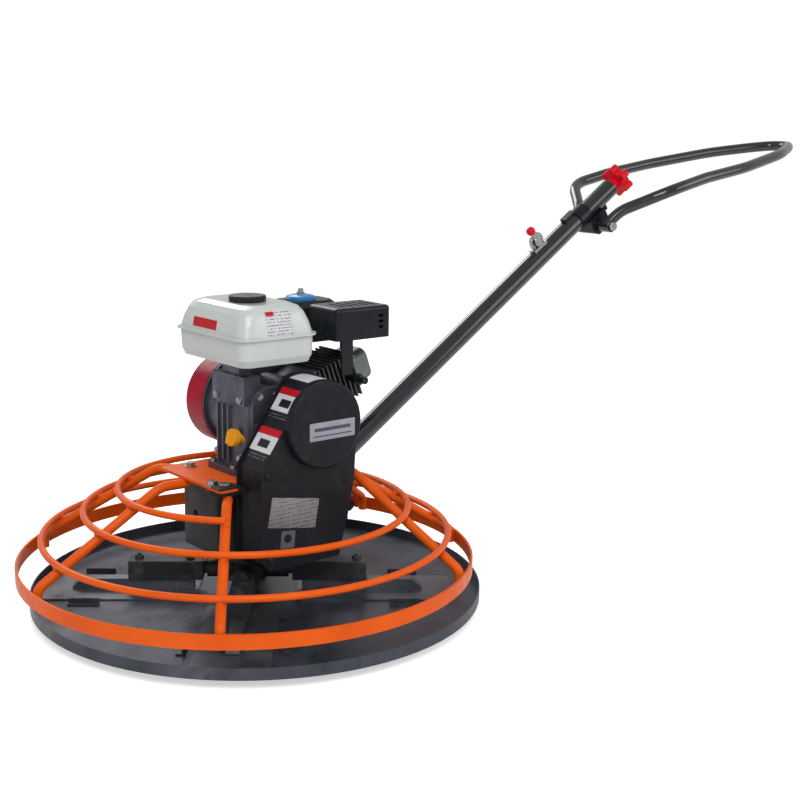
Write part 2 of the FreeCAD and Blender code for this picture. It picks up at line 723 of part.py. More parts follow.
def tilt_placement(along, across=0.0, up=0.0):
    """Place along the cylinder axis: local Z runs from the crankshaft to the head."""
    tilt = size("cylinder_tilt")
    rotation = Rotation(Vector(0, 1, 0), 90 - tilt)
    base = Vector(size("crank_x"), 0, size("crank_z"))
    return Placement(base, rotation).multiply(Placement(Vector(up, across, along), Rotation()))


def make_crankcase():
    cx, cz = size("crank_x"), size("crank_z")
    deck = size("deck_low") + size("deck_plate")
    foot = rounded_block((-70, -60, deck), (142, 50, deck + 13), 12)
    trunk = rounded_block((-50, -66, deck + 12), (116, 52, 452), 22)
    dome = shaft(74, (cx, -66, cz), (cx, 52, cz))
    throat = Part.makeBox(104, 104, 60, Vector(-52, -58, 0))
    throat.Placement = tilt_placement(36)
    web = Part.makeBox(40, 118, 60, Vector(-50, -66, 420))
    ribs = [Part.makeBox(6, 4, 120, Vector(-56, y, deck + 20)) for y in (-16, 4, 24)]
    tower = Part.makeBox(24, 60, 60, Vector(-44, -40, 448))
    shell = joined(foot, trunk, dome, throat, web, tower, *ribs)
    cavity = shaft(56, (cx, -52, cz), (cx, 42, cz))
    bore = shaft(34, (cx, -5, cz), (cx + 116 * math.cos(math.radians(size("cylinder_tilt"))), -5,
                                    cz + 116 * math.sin(math.radians(size("cylinder_tilt")))))
    crank_bore = shaft(CRANK_RADIUS + size("running_gap"), (cx, -90, cz), (cx, 90, cz))
    filler = shaft(11, (-70, -48, 357), (-20, -48, 345))
    spots = [(x, y) for x in ENGINE_BOLTS_X for y in ENGINE_BOLTS_Y]
    holes = [Part.makeCylinder(4.5, 30, Vector(x, y, deck - 5)) for x, y in spots]
    shell = shell.cut(cavity).cut(bore).cut(crank_bore).cut(filler).cut(Part.makeCompound(holes))
    keep(feature("Crankcase", shell), "crankcase")


def make_crankcase_cover():
    cx, cz = size("crank_x"), size("crank_z")
    plate = rounded_block((0, 0, 0), (160, 150, 14), 30)
    plate.Placement = Placement(Vector(-38, -66, 306), Rotation(Vector(1, 0, 0), 90))
    boss = shaft(30, (cx, -90, cz), (cx, -66, cz))
    places = ((-26, 318), (-26, 444), (110, 318), (110, 444), (42, 450), (-30, 380))
    screws = [hexagon_head(10, 5, (x, -80, z), (0, -1, 0)) for x, z in places]
    bore = shaft(CRANK_RADIUS + size("running_gap"), (cx, -95, cz), (cx, -60, cz))
    keep(feature("CrankcaseCover", joined(plate, boss, *screws).cut(bore)), "crankcase_cover")


def make_crankshaft():
    cx, cz = size("crank_x"), size("crank_z")
    bar = shaft(CRANK_RADIUS, (cx, -166, cz), (cx, 126, cz))
    webs = [Part.makeBox(34, 12, 72, Vector(cx - 17, y, cz - 44)) for y in (-30, 14)]
    pin = shaft(9, (cx, -24, cz + 18), (cx, 20, cz + 18))
    keep(feature("Crankshaft", joined(bar, pin, *webs)), "crankshaft")
    ring = shaft(24, (cx, -160, cz), (cx, -138, cz))
    shoes = shaft(42, (cx, -156, cz), (cx, -138, cz)).cut(shaft(26, (cx, -157, cz), (cx, -137, cz)))
    split = Part.makeBox(6, 30, 200, Vector(cx - 3, -162, cz - 100))
    arms = Part.makeBox(60, 12, 12, Vector(cx - 30, -152, cz - 6))
    hub = joined(ring, shoes.cut(split), arms)
    keep(feature("ClutchHub", hub.cut(shaft(CRANK_RADIUS, (cx, -170, cz), (cx, -130, cz)))), "clutch_shoes")
    body = new_body("FlywheelBody")
    sketch = new_sketch(body, "FlywheelSketch")
    sketch_circle(sketch, (0, 0), 78)
    sketch_circle(sketch, (0, 0), CRANK_RADIUS)
    pad(body, sketch, "FlywheelPad", 16)
    doc.recompute()
    vane = new_sketch(body, "VaneSketch", height=14)
    sketch_rectangle(vane, (46, -2), (76, 2))
    blade = pad(body, vane, "VanePad", 22)
    polar(body, blade, "Vanes", 14)
    body.Placement = Placement(Vector(cx, 66, cz), turned((0, 1, 0)))
    keep(body, "flywheel_fan")


STARTER_FACE = 118
STARTER_DEPTH = 66
STARTER_RADIUS = 101


def make_blower():
    """Fan housing against the crankcase, and the round starter cover on it."""
    cx, cz = size("crank_x"), size("crank_z")
    outer = shaft(92, (cx, 54, cz), (cx, STARTER_FACE, cz))
    rim = shaft(100, (cx, STARTER_FACE - 5, cz), (cx, STARTER_FACE, cz))
    shoulder = Part.makeBox(80, STARTER_FACE - 54, 70, Vector(cx + 4, 54, cz + 20))
    block = joined(outer, rim, shoulder)
    hollow = shaft(87, (cx, 58, cz), (cx, STARTER_FACE + 1, cz))
    shaft_hole = shaft(30, (cx, 50, cz), (cx, 60, cz))
    keep(feature("BlowerHousing", block.cut(hollow).cut(shaft_hole)), "blower_housing")
    body = new_body("StarterBody")
    sketch = new_sketch(body, "StarterSketch")
    sketch_circle(sketch, (0, 0), STARTER_RADIUS)
    pad(body, sketch, "StarterPad", STARTER_DEPTH)
    doc.recompute()
    hollow_sketch = new_sketch(body, "StarterHollowSketch")
    sketch_circle(hollow_sketch, (0, 0), STARTER_RADIUS - 4)
    pocket = body.newObject("PartDesign::Pocket", "StarterPocket")
    pocket.Profile = hollow_sketch
    pocket.Length = STARTER_DEPTH - 4
    pocket.Reversed = True
    body.Tip = pocket
    doc.recompute()
    rims = [number for number, edge in enumerate(pocket.Shape.Edges, start=1)
            if edge.BoundBox.ZMin > STARTER_DEPTH - 0.1]
    fillet = body.newObject("PartDesign::Fillet", "StarterRound")
    fillet.Base = (pocket, ["Edge%d" % number for number in rims])
    fillet.Radius = 3.5
    body.Tip = fillet
    doc.recompute()
    slot = new_sketch(body, "StarterSlotSketch", height=STARTER_DEPTH + 5)
    sketch_rectangle(slot, (36, -5), (88, 5))
    first = body.newObject("PartDesign::Pocket", "StarterSlot")
    first.Profile = slot
    first.Length = 20
    body.Tip = first
    doc.recompute()
    polar(body, first, "StarterSlots", 10)
    body.Placement = Placement(Vector(cx, STARTER_FACE, cz), turned((0, 1, 0)))
    keep(body, "starter_cover")
    grip = rounded_block((-24, -9, 0), (24, 9, 16), 6)
    grip = grip.makeFillet(3, [edge for edge in grip.Edges if edge.BoundBox.ZMin > 15.9])
    reach = STARTER_RADIUS + 0.8
    seat = Placement(Vector(cx + 0.6 * reach, 171, cz + 0.8 * reach), turned((0.6, 0, 0.8)))
    keep(feature("StarterGrip", grip, seat), "starter_grip")


FIN_COUNT = 9
FIN_PITCH = 11
BLOCK_START = 98
HEAD_DEPTH = 48


def make_cylinder():
    """Finned cylinder, its axis tilted up from the horizontal."""
    body = new_body("CylinderBody")
    core_sketch = new_sketch(body, "CoreSketch", height=BLOCK_START)
    sketch_circle(core_sketch, (0, 0), 42)
    core = pad(body, core_sketch, "CorePad", FIN_COUNT * FIN_PITCH)
    doc.recompute()
    fin_sketch = new_sketch(body, "FinSketch", height=BLOCK_START + 4)
    sketch_rectangle(fin_sketch, (-50, -58), (50, 54))
    fin = pad(body, fin_sketch, "FinPad", 3)
    linear(body, fin, "Fins", (FIN_COUNT - 1) * FIN_PITCH, FIN_COUNT)
    doc.recompute()
    bore_sketch = new_sketch(body, "BoreSketch", height=BLOCK_START + FIN_COUNT * FIN_PITCH)
    sketch_circle(bore_sketch, (0, -5), 34)
    bore = body.newObject("PartDesign::Pocket", "BorePocket")
    bore.Profile = bore_sketch
    bore.Length = FIN_COUNT * FIN_PITCH - 16
    body.Tip = bore
    body.Placement = tilt_placement(0)
    keep(body, "finned_cylinder")
    start = BLOCK_START + FIN_COUNT * FIN_PITCH
    cover = rounded_block((-36, -44, start), (36, 40, start + HEAD_DEPTH), 20)
    flange = rounded_block((-42, -50, start), (42, 46, start + 6), 18)
    top = [edge for edge in cover.Edges if edge.BoundBox.ZMin > start + HEAD_DEPTH - 0.1]
    cover = cover.makeFillet(9, top)
    screws = [hexagon_head(10, 5, (x, y, start + 6)) for x in (-33, 33) for y in (-41, 37)]
    keep(feature("HeadCover", joined(flange, cover, *screws), tilt_placement(0)), "head_cover")
    plug = joined(shaft(9, (0, 0, 0), (0, 0, 22)), shaft(12, (0, 0, 20), (0, 0, 30)),
                  shaft(8, (0, 0, 28), (0, 0, 52)))
    keep(feature("SparkPlug", plug, tilt_placement(start - 22, -58).multiply(
        Placement(Vector(0, 0, 0), Rotation(Vector(1, 0, 0), 90)))), "spark_plug_boot")


CAP_X = -5
CAP_Y = -15


def make_tank():
    """Pressed fuel tank: a deep lower half, a flange seam and a sloping upper half."""
    cx, cy = size("tank_x"), size("tank_y")
    half_x, half_y = size("tank_width") / 2, size("tank_length") / 2
    low, seam, top = size("tank_low"), size("tank_seam"), size("tank_top")

    def ring(inset, height, radius):
        return rounded_rectangle((cx - half_x + inset, cy - half_y + inset),
                                 (cx + half_x - inset, cy + half_y - inset), radius, height)

    def halves(wall):
        lower = loft(ring(14 + wall, low + wall, 20), ring(8 + wall, low + 14, 24), ring(6 + wall, seam, 26))
        upper = loft(ring(6 + wall, seam, 26), ring(11 + wall, seam + 26, 30), ring(18 + wall, top - 17, 32),
                     ring(26 + wall, top - 6, 32), ring(40 + wall, top - wall, 32))
        return lower.fuse(upper).removeSplitter()

    flange = Part.Face(ring(0, seam - 2, 30)).extrude(Vector(0, 0, 4))
    neck = Part.makeCylinder(26, 12, Vector(CAP_X, CAP_Y, top - 4))
    filler = Part.makeCylinder(22, 40, Vector(CAP_X, CAP_Y, top - 20))
    shell = halves(0).fuse(flange).fuse(neck).cut(halves(2.5)).cut(filler)
    keep(feature("FuelTank", shell), "fuel_tank")
    cap = Part.makeCylinder(38, 11.5, Vector(CAP_X, CAP_Y, top + 1.5))
    cap = cap.makeFillet(3, [edge for edge in cap.Edges if edge.BoundBox.ZMin > top + 12])
    cap = cap.cut(Part.makeCylinder(28, 10, Vector(CAP_X, CAP_Y, top)))
    grips = []
    for step in range(16):
        groove = Part.makeBox(4, 4, 30, Vector(37, -2, top))
        turn = Placement(Vector(CAP_X, CAP_Y, 0), Rotation(Vector(0, 0, 1), step * 22.5))
        groove.Placement = turn.multiply(groove.Placement)
        grips.append(groove)
    keep(feature("FuelCap", cap.cut(Part.makeCompound(grips))), "fuel_cap")


def make_muffler():
    core = rounded_block((162, -100, 548), (284, -14, 596), 18)
    pipe = shaft(14, (230, -40, 508), (230, -40, 552))
    keep(feature("Muffler", joined(core, pipe)), "muffler")
    shell = rounded_block((152, -112, 540), (296, -4, 608), 12)
    shell = shell.makeFillet(8, [edge for edge in shell.Edges if edge.BoundBox.ZMin > 607.9])
    hollow = rounded_block((154.5, -109.5, 530), (293.5, -6.5, 604), 10)
    slots = [Part.makeBox(12, 20, 6, Vector(262, -120, z)) for z in (560, 572, 584)]
    top_slots = [Part.makeBox(8, 60, 20, Vector(x, -90, 598)) for x in (186, 206, 226, 246, 266)]
    shell = shell.cut(hollow).cut(Part.makeCompound(slots + top_slots))
    strap = Part.makeBox(28, 5, 78, Vector(165, -112, 468))
    keep(feature("MufflerShield", joined(shell, strap)), "muffler_shield")


def make_air_cleaner():
    case = rounded_block((128, 14, 520), (262, 122, 568), 24)
    case = case.cut(rounded_block((131, 17, 524), (259, 119, 569), 21))
    keep(feature("AirCleanerCase", case.cut(shaft(16, (180, 60, 513), (180, 60, 528)))), "air_cleaner_case")
    lid = loft(rounded_rectangle((126, 12), (264, 124), 26, 568.5),
               rounded_rectangle((128, 14), (262, 122), 26, 596),
               rounded_rectangle((140, 26), (250, 110), 26, 608))
    inner = loft(rounded_rectangle((129, 15), (261, 121), 23, 568),
                 rounded_rectangle((131, 17), (259, 119), 23, 594),
                 rounded_rectangle((142, 28), (248, 108), 23, 605))
    dome = loft(rounded_rectangle((157, 37), (213, 93), 27.9, 604),
                rounded_rectangle((164, 44), (206, 86), 20.9, 618))
    lid = lid.fuse(dome).cut(inner).cut(shaft(4, (185, 65, 550), (185, 65, 640)))
    keep(feature("AirCleanerLid", lid), "air_cleaner_lid")
    knob = joined(shaft(9, (185, 65, 618.5), (185, 65, 625)), shaft(6, (185, 65, 624), (185, 65, 632)),
                  shaft(3.95, (185, 65, 578), (185, 65, 619)))
    keep(feature("AirCleanerKnob", knob), "air_cleaner_knob")
    make_carburettor()


def make_carburettor():
    bowl = joined(rounded_block((150, 62, 452), (205, 108, 500), 12),
                  shaft(20, (178, 82, 430), (178, 82, 454)),
                  shaft(14, (180, 60, 496), (180, 60, 519.5)),
                  shaft(13, (176, 54, 476), (176, 70, 476)))
    keep(feature("Carburettor", bowl.cut(shaft(3.05, (190, 98, 476), (190, 125, 476)))), "carburettor")
    lever = joined(shaft(3, (190, 100, 476), (190, 122, 476)),
                   Part.makeBox(36, 3, 9, Vector(186, 119, 471.5)),
                   shaft(7, (224, 116, 476), (224, 126, 476)))
    keep(feature("ChokeLever", lever), "choke_lever")


def make_dipstick():
    stick = joined(shaft(18, (0, 0, 0), (0, 0, 12)), Part.makeBox(26, 7, 10, Vector(-13, -3.5, 11)),
                   shaft(10.9, (0, 0, -22), (0, 0, 1)))
    seat = Placement(Vector(-58.5, -48, 354.2), turned((-50, 0, 12)))
    keep(feature("Dipstick", stick, seat), "oil_dipstick")


# ---------------------------------------------------------------- handle and controls

YOKE_PIVOT = (109, 132)
LEVER_END = (263, 150)


def pole_point(along, above=0.0, side=0.0):
    tilt = math.radians(size("pole_tilt"))
    return (size("pole_start_x") + along * math.cos(tilt) - above * math.sin(tilt), side,
            size("pole_start_z") + along * math.sin(tilt) + above * math.cos(tilt))


def pole_placement(along):
    """Local Z runs up the pole, local X points down and out from its underside."""
    return Placement(Vector(*pole_point(along)), Rotation(Vector(0, 1, 0), 90 - size("pole_tilt")))


CABLE_EXIT = 178


def make_pole():
    outer = cylinder("PoleOuter", "pole_radius", "pole_length", (0, 0, 0))
    bore = cylinder("PoleBore", "pole_radius - pole_wall", "pole_length - 18", (0, 0, 0))
    screw_bore = cylinder("PoleScrewBore", 7.05, 60, (0, 0, size("pole_length") - 40))
    slot = box("PoleSlot", (40, 12, 56), (5, -6, CABLE_EXIT - 28))
    pole = cut("PoleTube", outer, bore, screw_bore, slot)
    pole.Placement = pole_placement(0)
    keep(pole, "handle_pole")


def make_pole_bracket():
    rear = size("gear_rear")
    socket = shaft(31, pole_point(-14), pole_point(96))
    saddle = Part.makeBox(60, 56, 84, Vector(rear, -28, 152))
    flange = Part.makeBox(10, 100, 84, Vector(rear, -50, 152))
    solid = joined(socket, saddle, flange)
    solid = solid.cut(Part.makeBox(400, 200, 150, Vector(0, -100, 0.5)))
    solid = solid.cut(Part.makeBox(80, 200, 400, Vector(rear - 80, -100, 0)))
    solid = solid.cut(shaft(size("pole_radius"), pole_point(0), pole_point(300)))
    solid = solid.cut(Part.makeBox(300, 200, 60, Vector(0, -100, size("deck_low") - 0.5)))
    keep(feature("PoleBracket", solid), "pole_socket")


HANDLE_PIVOT_ALONG = 1079
HANDLE_PIVOT_ABOVE = -40


def make_handle_bracket():
    """Clamp near the pole's end; the grip loop swings on its bolt, under the pole."""
    block = Part.makeBox(46, 60, 62, Vector(14, -30, 1054))
    block = block.makeChamfer(14, [edge for edge in block.Edges if abs(edge.BoundBox.XMin - 60) < 0.1
                                   and edge.BoundBox.YLength > 50])
    collar = Part.makeCylinder(26.5, 40, Vector(0, 0, 1036))
    clip = Part.makeBox(14, 18, 40, Vector(-31, -9, 1000))
    stop = Part.makeBox(18, 16, 32, Vector(18, -8, 1112))
    bore = Part.makeCylinder(size("pole_radius"), 200, Vector(0, 0, 990))
    below = -HANDLE_PIVOT_ABOVE
    pivot = shaft(6, (below, -80, HANDLE_PIVOT_ALONG), (below, 80, HANDLE_PIVOT_ALONG))
    bracket = joined(block, collar, clip, stop).cut(bore).cut(pivot)
    keep(feature("HandleBracket", bracket, pole_placement(0)), "handle_bracket")


def make_handle_loop():
    """Closed grip loop whose two ends turn in to ears on the bracket's pivot bolt."""
    px, _, pz = pole_point(HANDLE_PIVOT_ALONG, HANDLE_PIVOT_ABOVE)
    near = [(px + 5, 50, pz + 5), (1072, 70, 780), (1150, 166, 834), (1285, 164, 862),
            (1450, 161, 886), (1665, 118, 918), (1790, 58, 934), (1836, 27, 939)]
    points = [(x, -y, z) for x, y, z in near] + [(x, y, z) for x, y, z in reversed(near)]
    bends = [80, 100, 400, 400, 400, 300, 40]
    path = bent_path(points, bends + bends[::-1])
    ears = [shaft(15, (px, side * 34, pz), (px, side * 68, pz)) for side in (-1, 1)]
    handle = swept(path, size("loop_tube")).fuse(ears).cut(swept(path, size("loop_tube") - 2.5))
    keep(feature("HandleLoop", handle.cut(shaft(6.05, (px, -90, pz), (px, 90, pz)))), "handle_loop")


def make_pivot_bolt():
    px, _, pz = pole_point(HANDLE_PIVOT_ALONG, HANDLE_PIVOT_ABOVE)
    return joined(shaft(6, (px, -71, pz), (px, 71, pz)), hexagon_head(19, 8, (px, -70, pz), (0, -1, 0)),
                  hexagon_head(19, 9, (px, 70, pz), (0, 1, 0)))


def make_knob():
    """Six-lobed pitch knob with its screw in the pole's end."""
    body = new_body("KnobBody")
    sketch = new_sketch(body, "KnobSketch")
    sketch_circle(sketch, (0, 0), 28, "knob_radius")
    pad(body, sketch, "KnobPad", 24)
    doc.recompute()
    lobe_sketch = new_sketch(body, "LobeSketch")
    sketch_circle(lobe_sketch, (31, 0), 9)
    lobe = pad(body, lobe_sketch, "LobePad", 24)
    polar(body, lobe, "Lobes", 6)
    doc.recompute()
    stem_sketch = new_sketch(body, "StemSketch")
    sketch_circle(stem_sketch, (0, 0), 7)
    pad(body, stem_sketch, "StemPad", 60, reverse=True)
    doc.recompute()
    neck_sketch = new_sketch(body, "NeckSketch")
    sketch_circle(neck_sketch, (0, 0), 15)
    pad(body, neck_sketch, "NeckPad", 21, reverse=True)
    body.Placement = pole_placement(size("pole_length") + 22)
    keep(body, "pitch_knob")


THROTTLE_ALONG = 896
THROTTLE_ABOVE = 41


def make_throttle():
    foot = Part.makeBox(8, 22, 46, Vector(-29.5, -11, THROTTLE_ALONG - 23))
    below = -THROTTLE_ABOVE
    disc = shaft(23, (below, -4, THROTTLE_ALONG), (below, 0, THROTTLE_ALONG))
    post = Part.makeBox(20, 4, 24, Vector(-42, -4, THROTTLE_ALONG - 12))
    shape = joined(foot, disc, post)
    shape = shape.cut(Part.makeCylinder(size("pole_radius"), 200, Vector(0, 0, THROTTLE_ALONG - 100)))
    shape = shape.cut(shaft(4.05, (below, -10, THROTTLE_ALONG), (below, 10, THROTTLE_ALONG)))
    keep(feature("ThrottleBracket", shape, pole_placement(0)), "throttle_bracket")
    bar = Part.makeBox(10, 4, 30, Vector(-5, -4.4 - 4, -2))
    end = shaft(4, (0, -12, 0), (0, 5, 0))
    washer = shaft(11, (0, -12, 0), (0, -8.4, 0))
    lever = joined(bar, end, washer)
    lean = Placement(Vector(*pole_point(THROTTLE_ALONG, THROTTLE_ABOVE)), Rotation(Vector(0, 1, 0), -44))
    keep(feature("ThrottleLever", lever, lean), "throttle_lever")
    ball = Part.makeSphere(11, Vector(0, -6.4, 36)).cut(bar)
    keep(feature("ThrottleBall", ball, lean), "throttle_ball")


def make_cables():
    """Both control cables, held along the pole by their guides."""
    start = pole_point(1100)
    drop = (LEVER_END[0], 0, 160)
    rise = math.tan(math.radians(size("pole_tilt")))
    corner_z = size("pole_start_z") + (LEVER_END[0] - size("pole_start_x")) * rise
    path = bent_path([start, (LEVER_END[0], 0, corner_z), drop], 30)
    keep(feature("PitchCable", swept(path, 2)), "pitch_cable")
    under = -size("pole_radius") - 4.5
    route = [pole_point(THROTTLE_ALONG - 30, under, 4), pole_point(400, under, 4),
             pole_point(250, under - 6, 22), (262, 62, 262), (226, 92, 330),
             (210, 112, 430), (200, 112, 470)]
    keep(feature("ThrottleCable", swept(bent_path(route, [400, 90, 40, 40, 90, 60]), 3)), "throttle_cable")


def make_yoke():
    """Lever that pushes the pressure plate down when the cable pulls its tail up."""
    px, pz = YOKE_PIVOT
    ex, ez = LEVER_END
    tube = shaft(11, (px, -25, pz), (px, 25, pz))
    neck = Part.makeBox(24, 46, 10, Vector(px - 26, -23, 105.5))
    prongs = [Part.makeBox(px - 22 + 20, 12, 10, Vector(-20, side * 30 - 6, 105.5)) for side in (-1, 1)]
    bridge = Part.makeBox(16, 72, 10, Vector(px - 26, -36, 105.5))
    riser = Part.makeBox(16, 46, 24, Vector(px - 12, -23, 106))
    tail = Part.makeBox(ex - px, 16, 20, Vector(px, -8, pz - 8))
    boss = shaft(14, (ex, -12, ez - 4), (ex, 12, ez - 4))
    stud = shaft(4, (ex, 0, ez - 42), (ex, 0, ez - 16))
    body = joined(tube, neck, bridge, riser, tail, boss, stud, *prongs)
    body = body.cut(shaft(4.05 + 1, (px, -40, pz), (px, 40, pz)))
    body = body.cut(shaft(4, (ex, 0, ez - 16), (ex, 0, ez + 60)))
    keep(feature("PitchYoke", body), "pitch_yoke")


def make_fasteners():
    """Bolts and pins of the frame, all of it still."""
    deck = size("deck_low") + size("deck_plate")
    gear_top = size("gear_high") + 12
    px, pz = YOKE_PIVOT
    shapes = [joined(shaft(5, (px, -44, pz), (px, 44, pz)), shaft(8, (px, 36.5, pz), (px, 42, pz)),
                     shaft(8, (px, -42, pz), (px, -36.5, pz)))]
    shapes.append(make_pivot_bolt())
    for x, y in ((-96, 68), (-136, -84), (-128, -112), (66, 68)):
        washer = Part.makeCylinder(14, 2, Vector(x, y, deck))
        shapes.append(joined(hexagon_head(19, 9, (x, y, deck)), washer))
    for x in ENGINE_BOLTS_X:
        for y in ENGINE_BOLTS_Y:
            shapes.append(joined(hexagon_head(14, 7, (x, y, deck + 13)),
                                 Part.makeCylinder(4, 13, Vector(x, y, deck))))
    for x, y in ((-104, 46), (78, 46), (-104, -46), (78, -46)):
        shapes.append(Part.makeCylinder(10, size("deck_low") - gear_top, Vector(x, y, gear_top)))
    for y in (-40, 40):
        for z in (170, 222):
            shapes.append(hexagon_head(14, 8, (size("gear_rear") + 10, y, z), (1, 0, 0)))
    keep(feature("Fasteners", Part.makeCompound(shapes)), "frame_fasteners")


def build():
    make_pan()
    for index in range(4):
        make_blade(index)
        make_arm(index)
    make_spider()
    make_rotor_shaft()
    make_pressure_plate()
    make_gearbox()
    make_bearings()
    make_worm_shaft()
    make_pulleys()
    make_belt()
    make_belt_guard()
    make_deck()
    make_guard_band()
    make_guard_rings()
    make_spokes()
    make_crankcase()
    make_crankcase_cover()
    make_crankshaft()
    make_blower()
    make_cylinder()
    make_tank()
    make_muffler()
    make_air_cleaner()
    make_dipstick()
    make_pole()
    make_pole_bracket()
    make_handle_bracket()
    make_handle_loop()
    make_knob()
    make_throttle()
    make_cables()
    make_yoke()
    make_fasteners()


def check_and_write():
    doc.recompute()
    for item in doc.Objects:
        if any(word in ("Invalid", "Error") for word in item.State):
            raise RuntimeError("failed object: %s %s" % (item.Name, item.State))
    for item in parts:
        if item.Shape.isNull() or not item.Shape.isValid() or not item.Shape.Solids:
            raise RuntimeError("bad shape: " + item.Label)
    os.makedirs("parts", exist_ok=True)
    for item in parts:
        item.Shape.exportStep("parts/%s.step" % item.Label)
    print(len(parts), "parts written")


build()
check_and_write()
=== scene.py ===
import json
import math

import bmesh
import bpy
from mathutils import Matrix, Vector
from mathutils.bvhtree import BVHTree


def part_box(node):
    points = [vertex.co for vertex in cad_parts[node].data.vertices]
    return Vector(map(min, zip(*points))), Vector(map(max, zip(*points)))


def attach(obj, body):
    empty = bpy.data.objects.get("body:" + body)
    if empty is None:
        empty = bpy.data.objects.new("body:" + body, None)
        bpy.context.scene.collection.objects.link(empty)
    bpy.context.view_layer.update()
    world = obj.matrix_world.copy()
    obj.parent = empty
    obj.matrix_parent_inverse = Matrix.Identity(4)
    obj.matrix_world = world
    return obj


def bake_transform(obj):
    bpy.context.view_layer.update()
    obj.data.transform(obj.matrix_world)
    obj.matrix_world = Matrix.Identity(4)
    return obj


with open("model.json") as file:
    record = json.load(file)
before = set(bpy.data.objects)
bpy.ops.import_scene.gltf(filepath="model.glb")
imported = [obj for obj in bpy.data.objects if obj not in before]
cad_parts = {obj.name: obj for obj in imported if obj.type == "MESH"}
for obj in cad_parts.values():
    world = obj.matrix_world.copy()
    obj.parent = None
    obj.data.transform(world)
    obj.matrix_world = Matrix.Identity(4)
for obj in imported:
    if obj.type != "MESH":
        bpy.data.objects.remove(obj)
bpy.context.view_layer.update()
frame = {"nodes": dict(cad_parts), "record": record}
NODES = frame["nodes"]


# ---------------------------------------------------------------- node helpers

class Shader:
    """One material and short ways to add nodes to it."""

    def __init__(self, name):
        self.material = bpy.data.materials.new(name)
        self.material.use_nodes = True
        self.tree = self.material.node_tree
        self.bsdf = self.tree.nodes["Principled BSDF"]
        coordinates = self.tree.nodes.new("ShaderNodeTexCoord")
        self.place = coordinates.outputs["Object"]

    def add(self, kind, **settings):
        node = self.tree.nodes.new(kind)
        for key, value in settings.items():
            setattr(node, key, value)
        return node

    def link(self, source, target):
        self.tree.links.new(source, target)

    def put(self, target, value):
        if isinstance(value, bpy.types.NodeSocket):
            self.link(value, target)
        else:
            target.default_value = value

    def noise(self, scale, detail=4.0, roughness=0.55, stretch=None, distortion=0.0):
        node = self.add("ShaderNodeTexNoise")
        node.inputs["Scale"].default_value = scale
        node.inputs["Detail"].default_value = detail
        node.inputs["Roughness"].default_value = roughness
        node.inputs["Distortion"].default_value = distortion
        self.link(self.stretched(stretch), node.inputs["Vector"])
        return node.outputs["Fac"]

    def stretched(self, stretch):
        if stretch is None:
            return self.place
        mapping = self.add("ShaderNodeMapping")
        mapping.inputs["Scale"].default_value = stretch
        self.link(self.place, mapping.inputs["Vector"])
        return mapping.outputs["Vector"]

    def cells(self, scale):
        node = self.add("ShaderNodeTexVoronoi")
        node.inputs["Scale"].default_value = scale
        self.link(self.place, node.inputs["Vector"])
        return node.outputs["Distance"]

    def remap(self, value, low, high, to_low=0.0, to_high=1.0):
        node = self.add("ShaderNodeMapRange")
        node.clamp = True
        self.link(value, node.inputs["Value"])
        for key, number in zip(("From Min", "From Max", "To Min", "To Max"), (low, high, to_low, to_high)):
            node.inputs[key].default_value = number
        return node.outputs["Result"]

    def math(self, operation, first, second=0.0):
        node = self.add("ShaderNodeMath", operation=operation)
        self.put(node.inputs[0], first)
        self.put(node.inputs[1], second)
        return node.outputs["Value"]

    def mix(self, factor, first, second):
        node = self.add("ShaderNodeMix", data_type="RGBA")
        self.put(node.inputs["Factor"], factor)
        self.put(node.inputs["A"], (*first, 1.0) if isinstance(first, tuple) else first)
        self.put(node.inputs["B"], (*second, 1.0) if isinstance(second, tuple) else second)
        return node.outputs["Result"]

    def edges(self, width=0.0012):
        """1 on worn outer edges, 0 on flats."""
        bevel = self.add("ShaderNodeBevel", samples=4)
        bevel.inputs["Radius"].default_value = width
        geometry = self.add("ShaderNodeNewGeometry")
        dot = self.add("ShaderNodeVectorMath", operation="DOT_PRODUCT")
        self.link(bevel.outputs["Normal"], dot.inputs[0])
        self.link(geometry.outputs["Normal"], dot.inputs[1])
        return self.remap(dot.outputs["Value"], 0.985, 0.90)

    def bump(self, height, strength, distance=0.001, under=None):
        node = self.add("ShaderNodeBump")
        node.inputs["Strength"].default_value = strength
        node.inputs["Distance"].default_value = distance
        self.link(height, node.inputs["Height"])
        if under is not None:
            self.link(under, node.inputs["Normal"])
        return node.outputs["Normal"]

    def finish(self, color, roughness, normal=None, metallic=None, coat=0.0, specular=None):
        self.put(self.bsdf.inputs["Base Color"], color)
        self.put(self.bsdf.inputs["Roughness"], roughness)
        if normal is not None:
            self.link(normal, self.bsdf.inputs["Normal"])
        if metallic is not None:
            self.put(self.bsdf.inputs["Metallic"], metallic)
        if coat:
            self.bsdf.inputs["Coat Weight"].default_value = coat
            self.bsdf.inputs["Coat Roughness"].default_value = 0.12
        if specular is not None:
            self.bsdf.inputs["Specular IOR Level"].default_value = specular
        return self.material


# ---------------------------------------------------------------- materials

DUST = (0.42, 0.39, 0.35)
NO_STRETCH = (1.0, 1.0, 1.0)


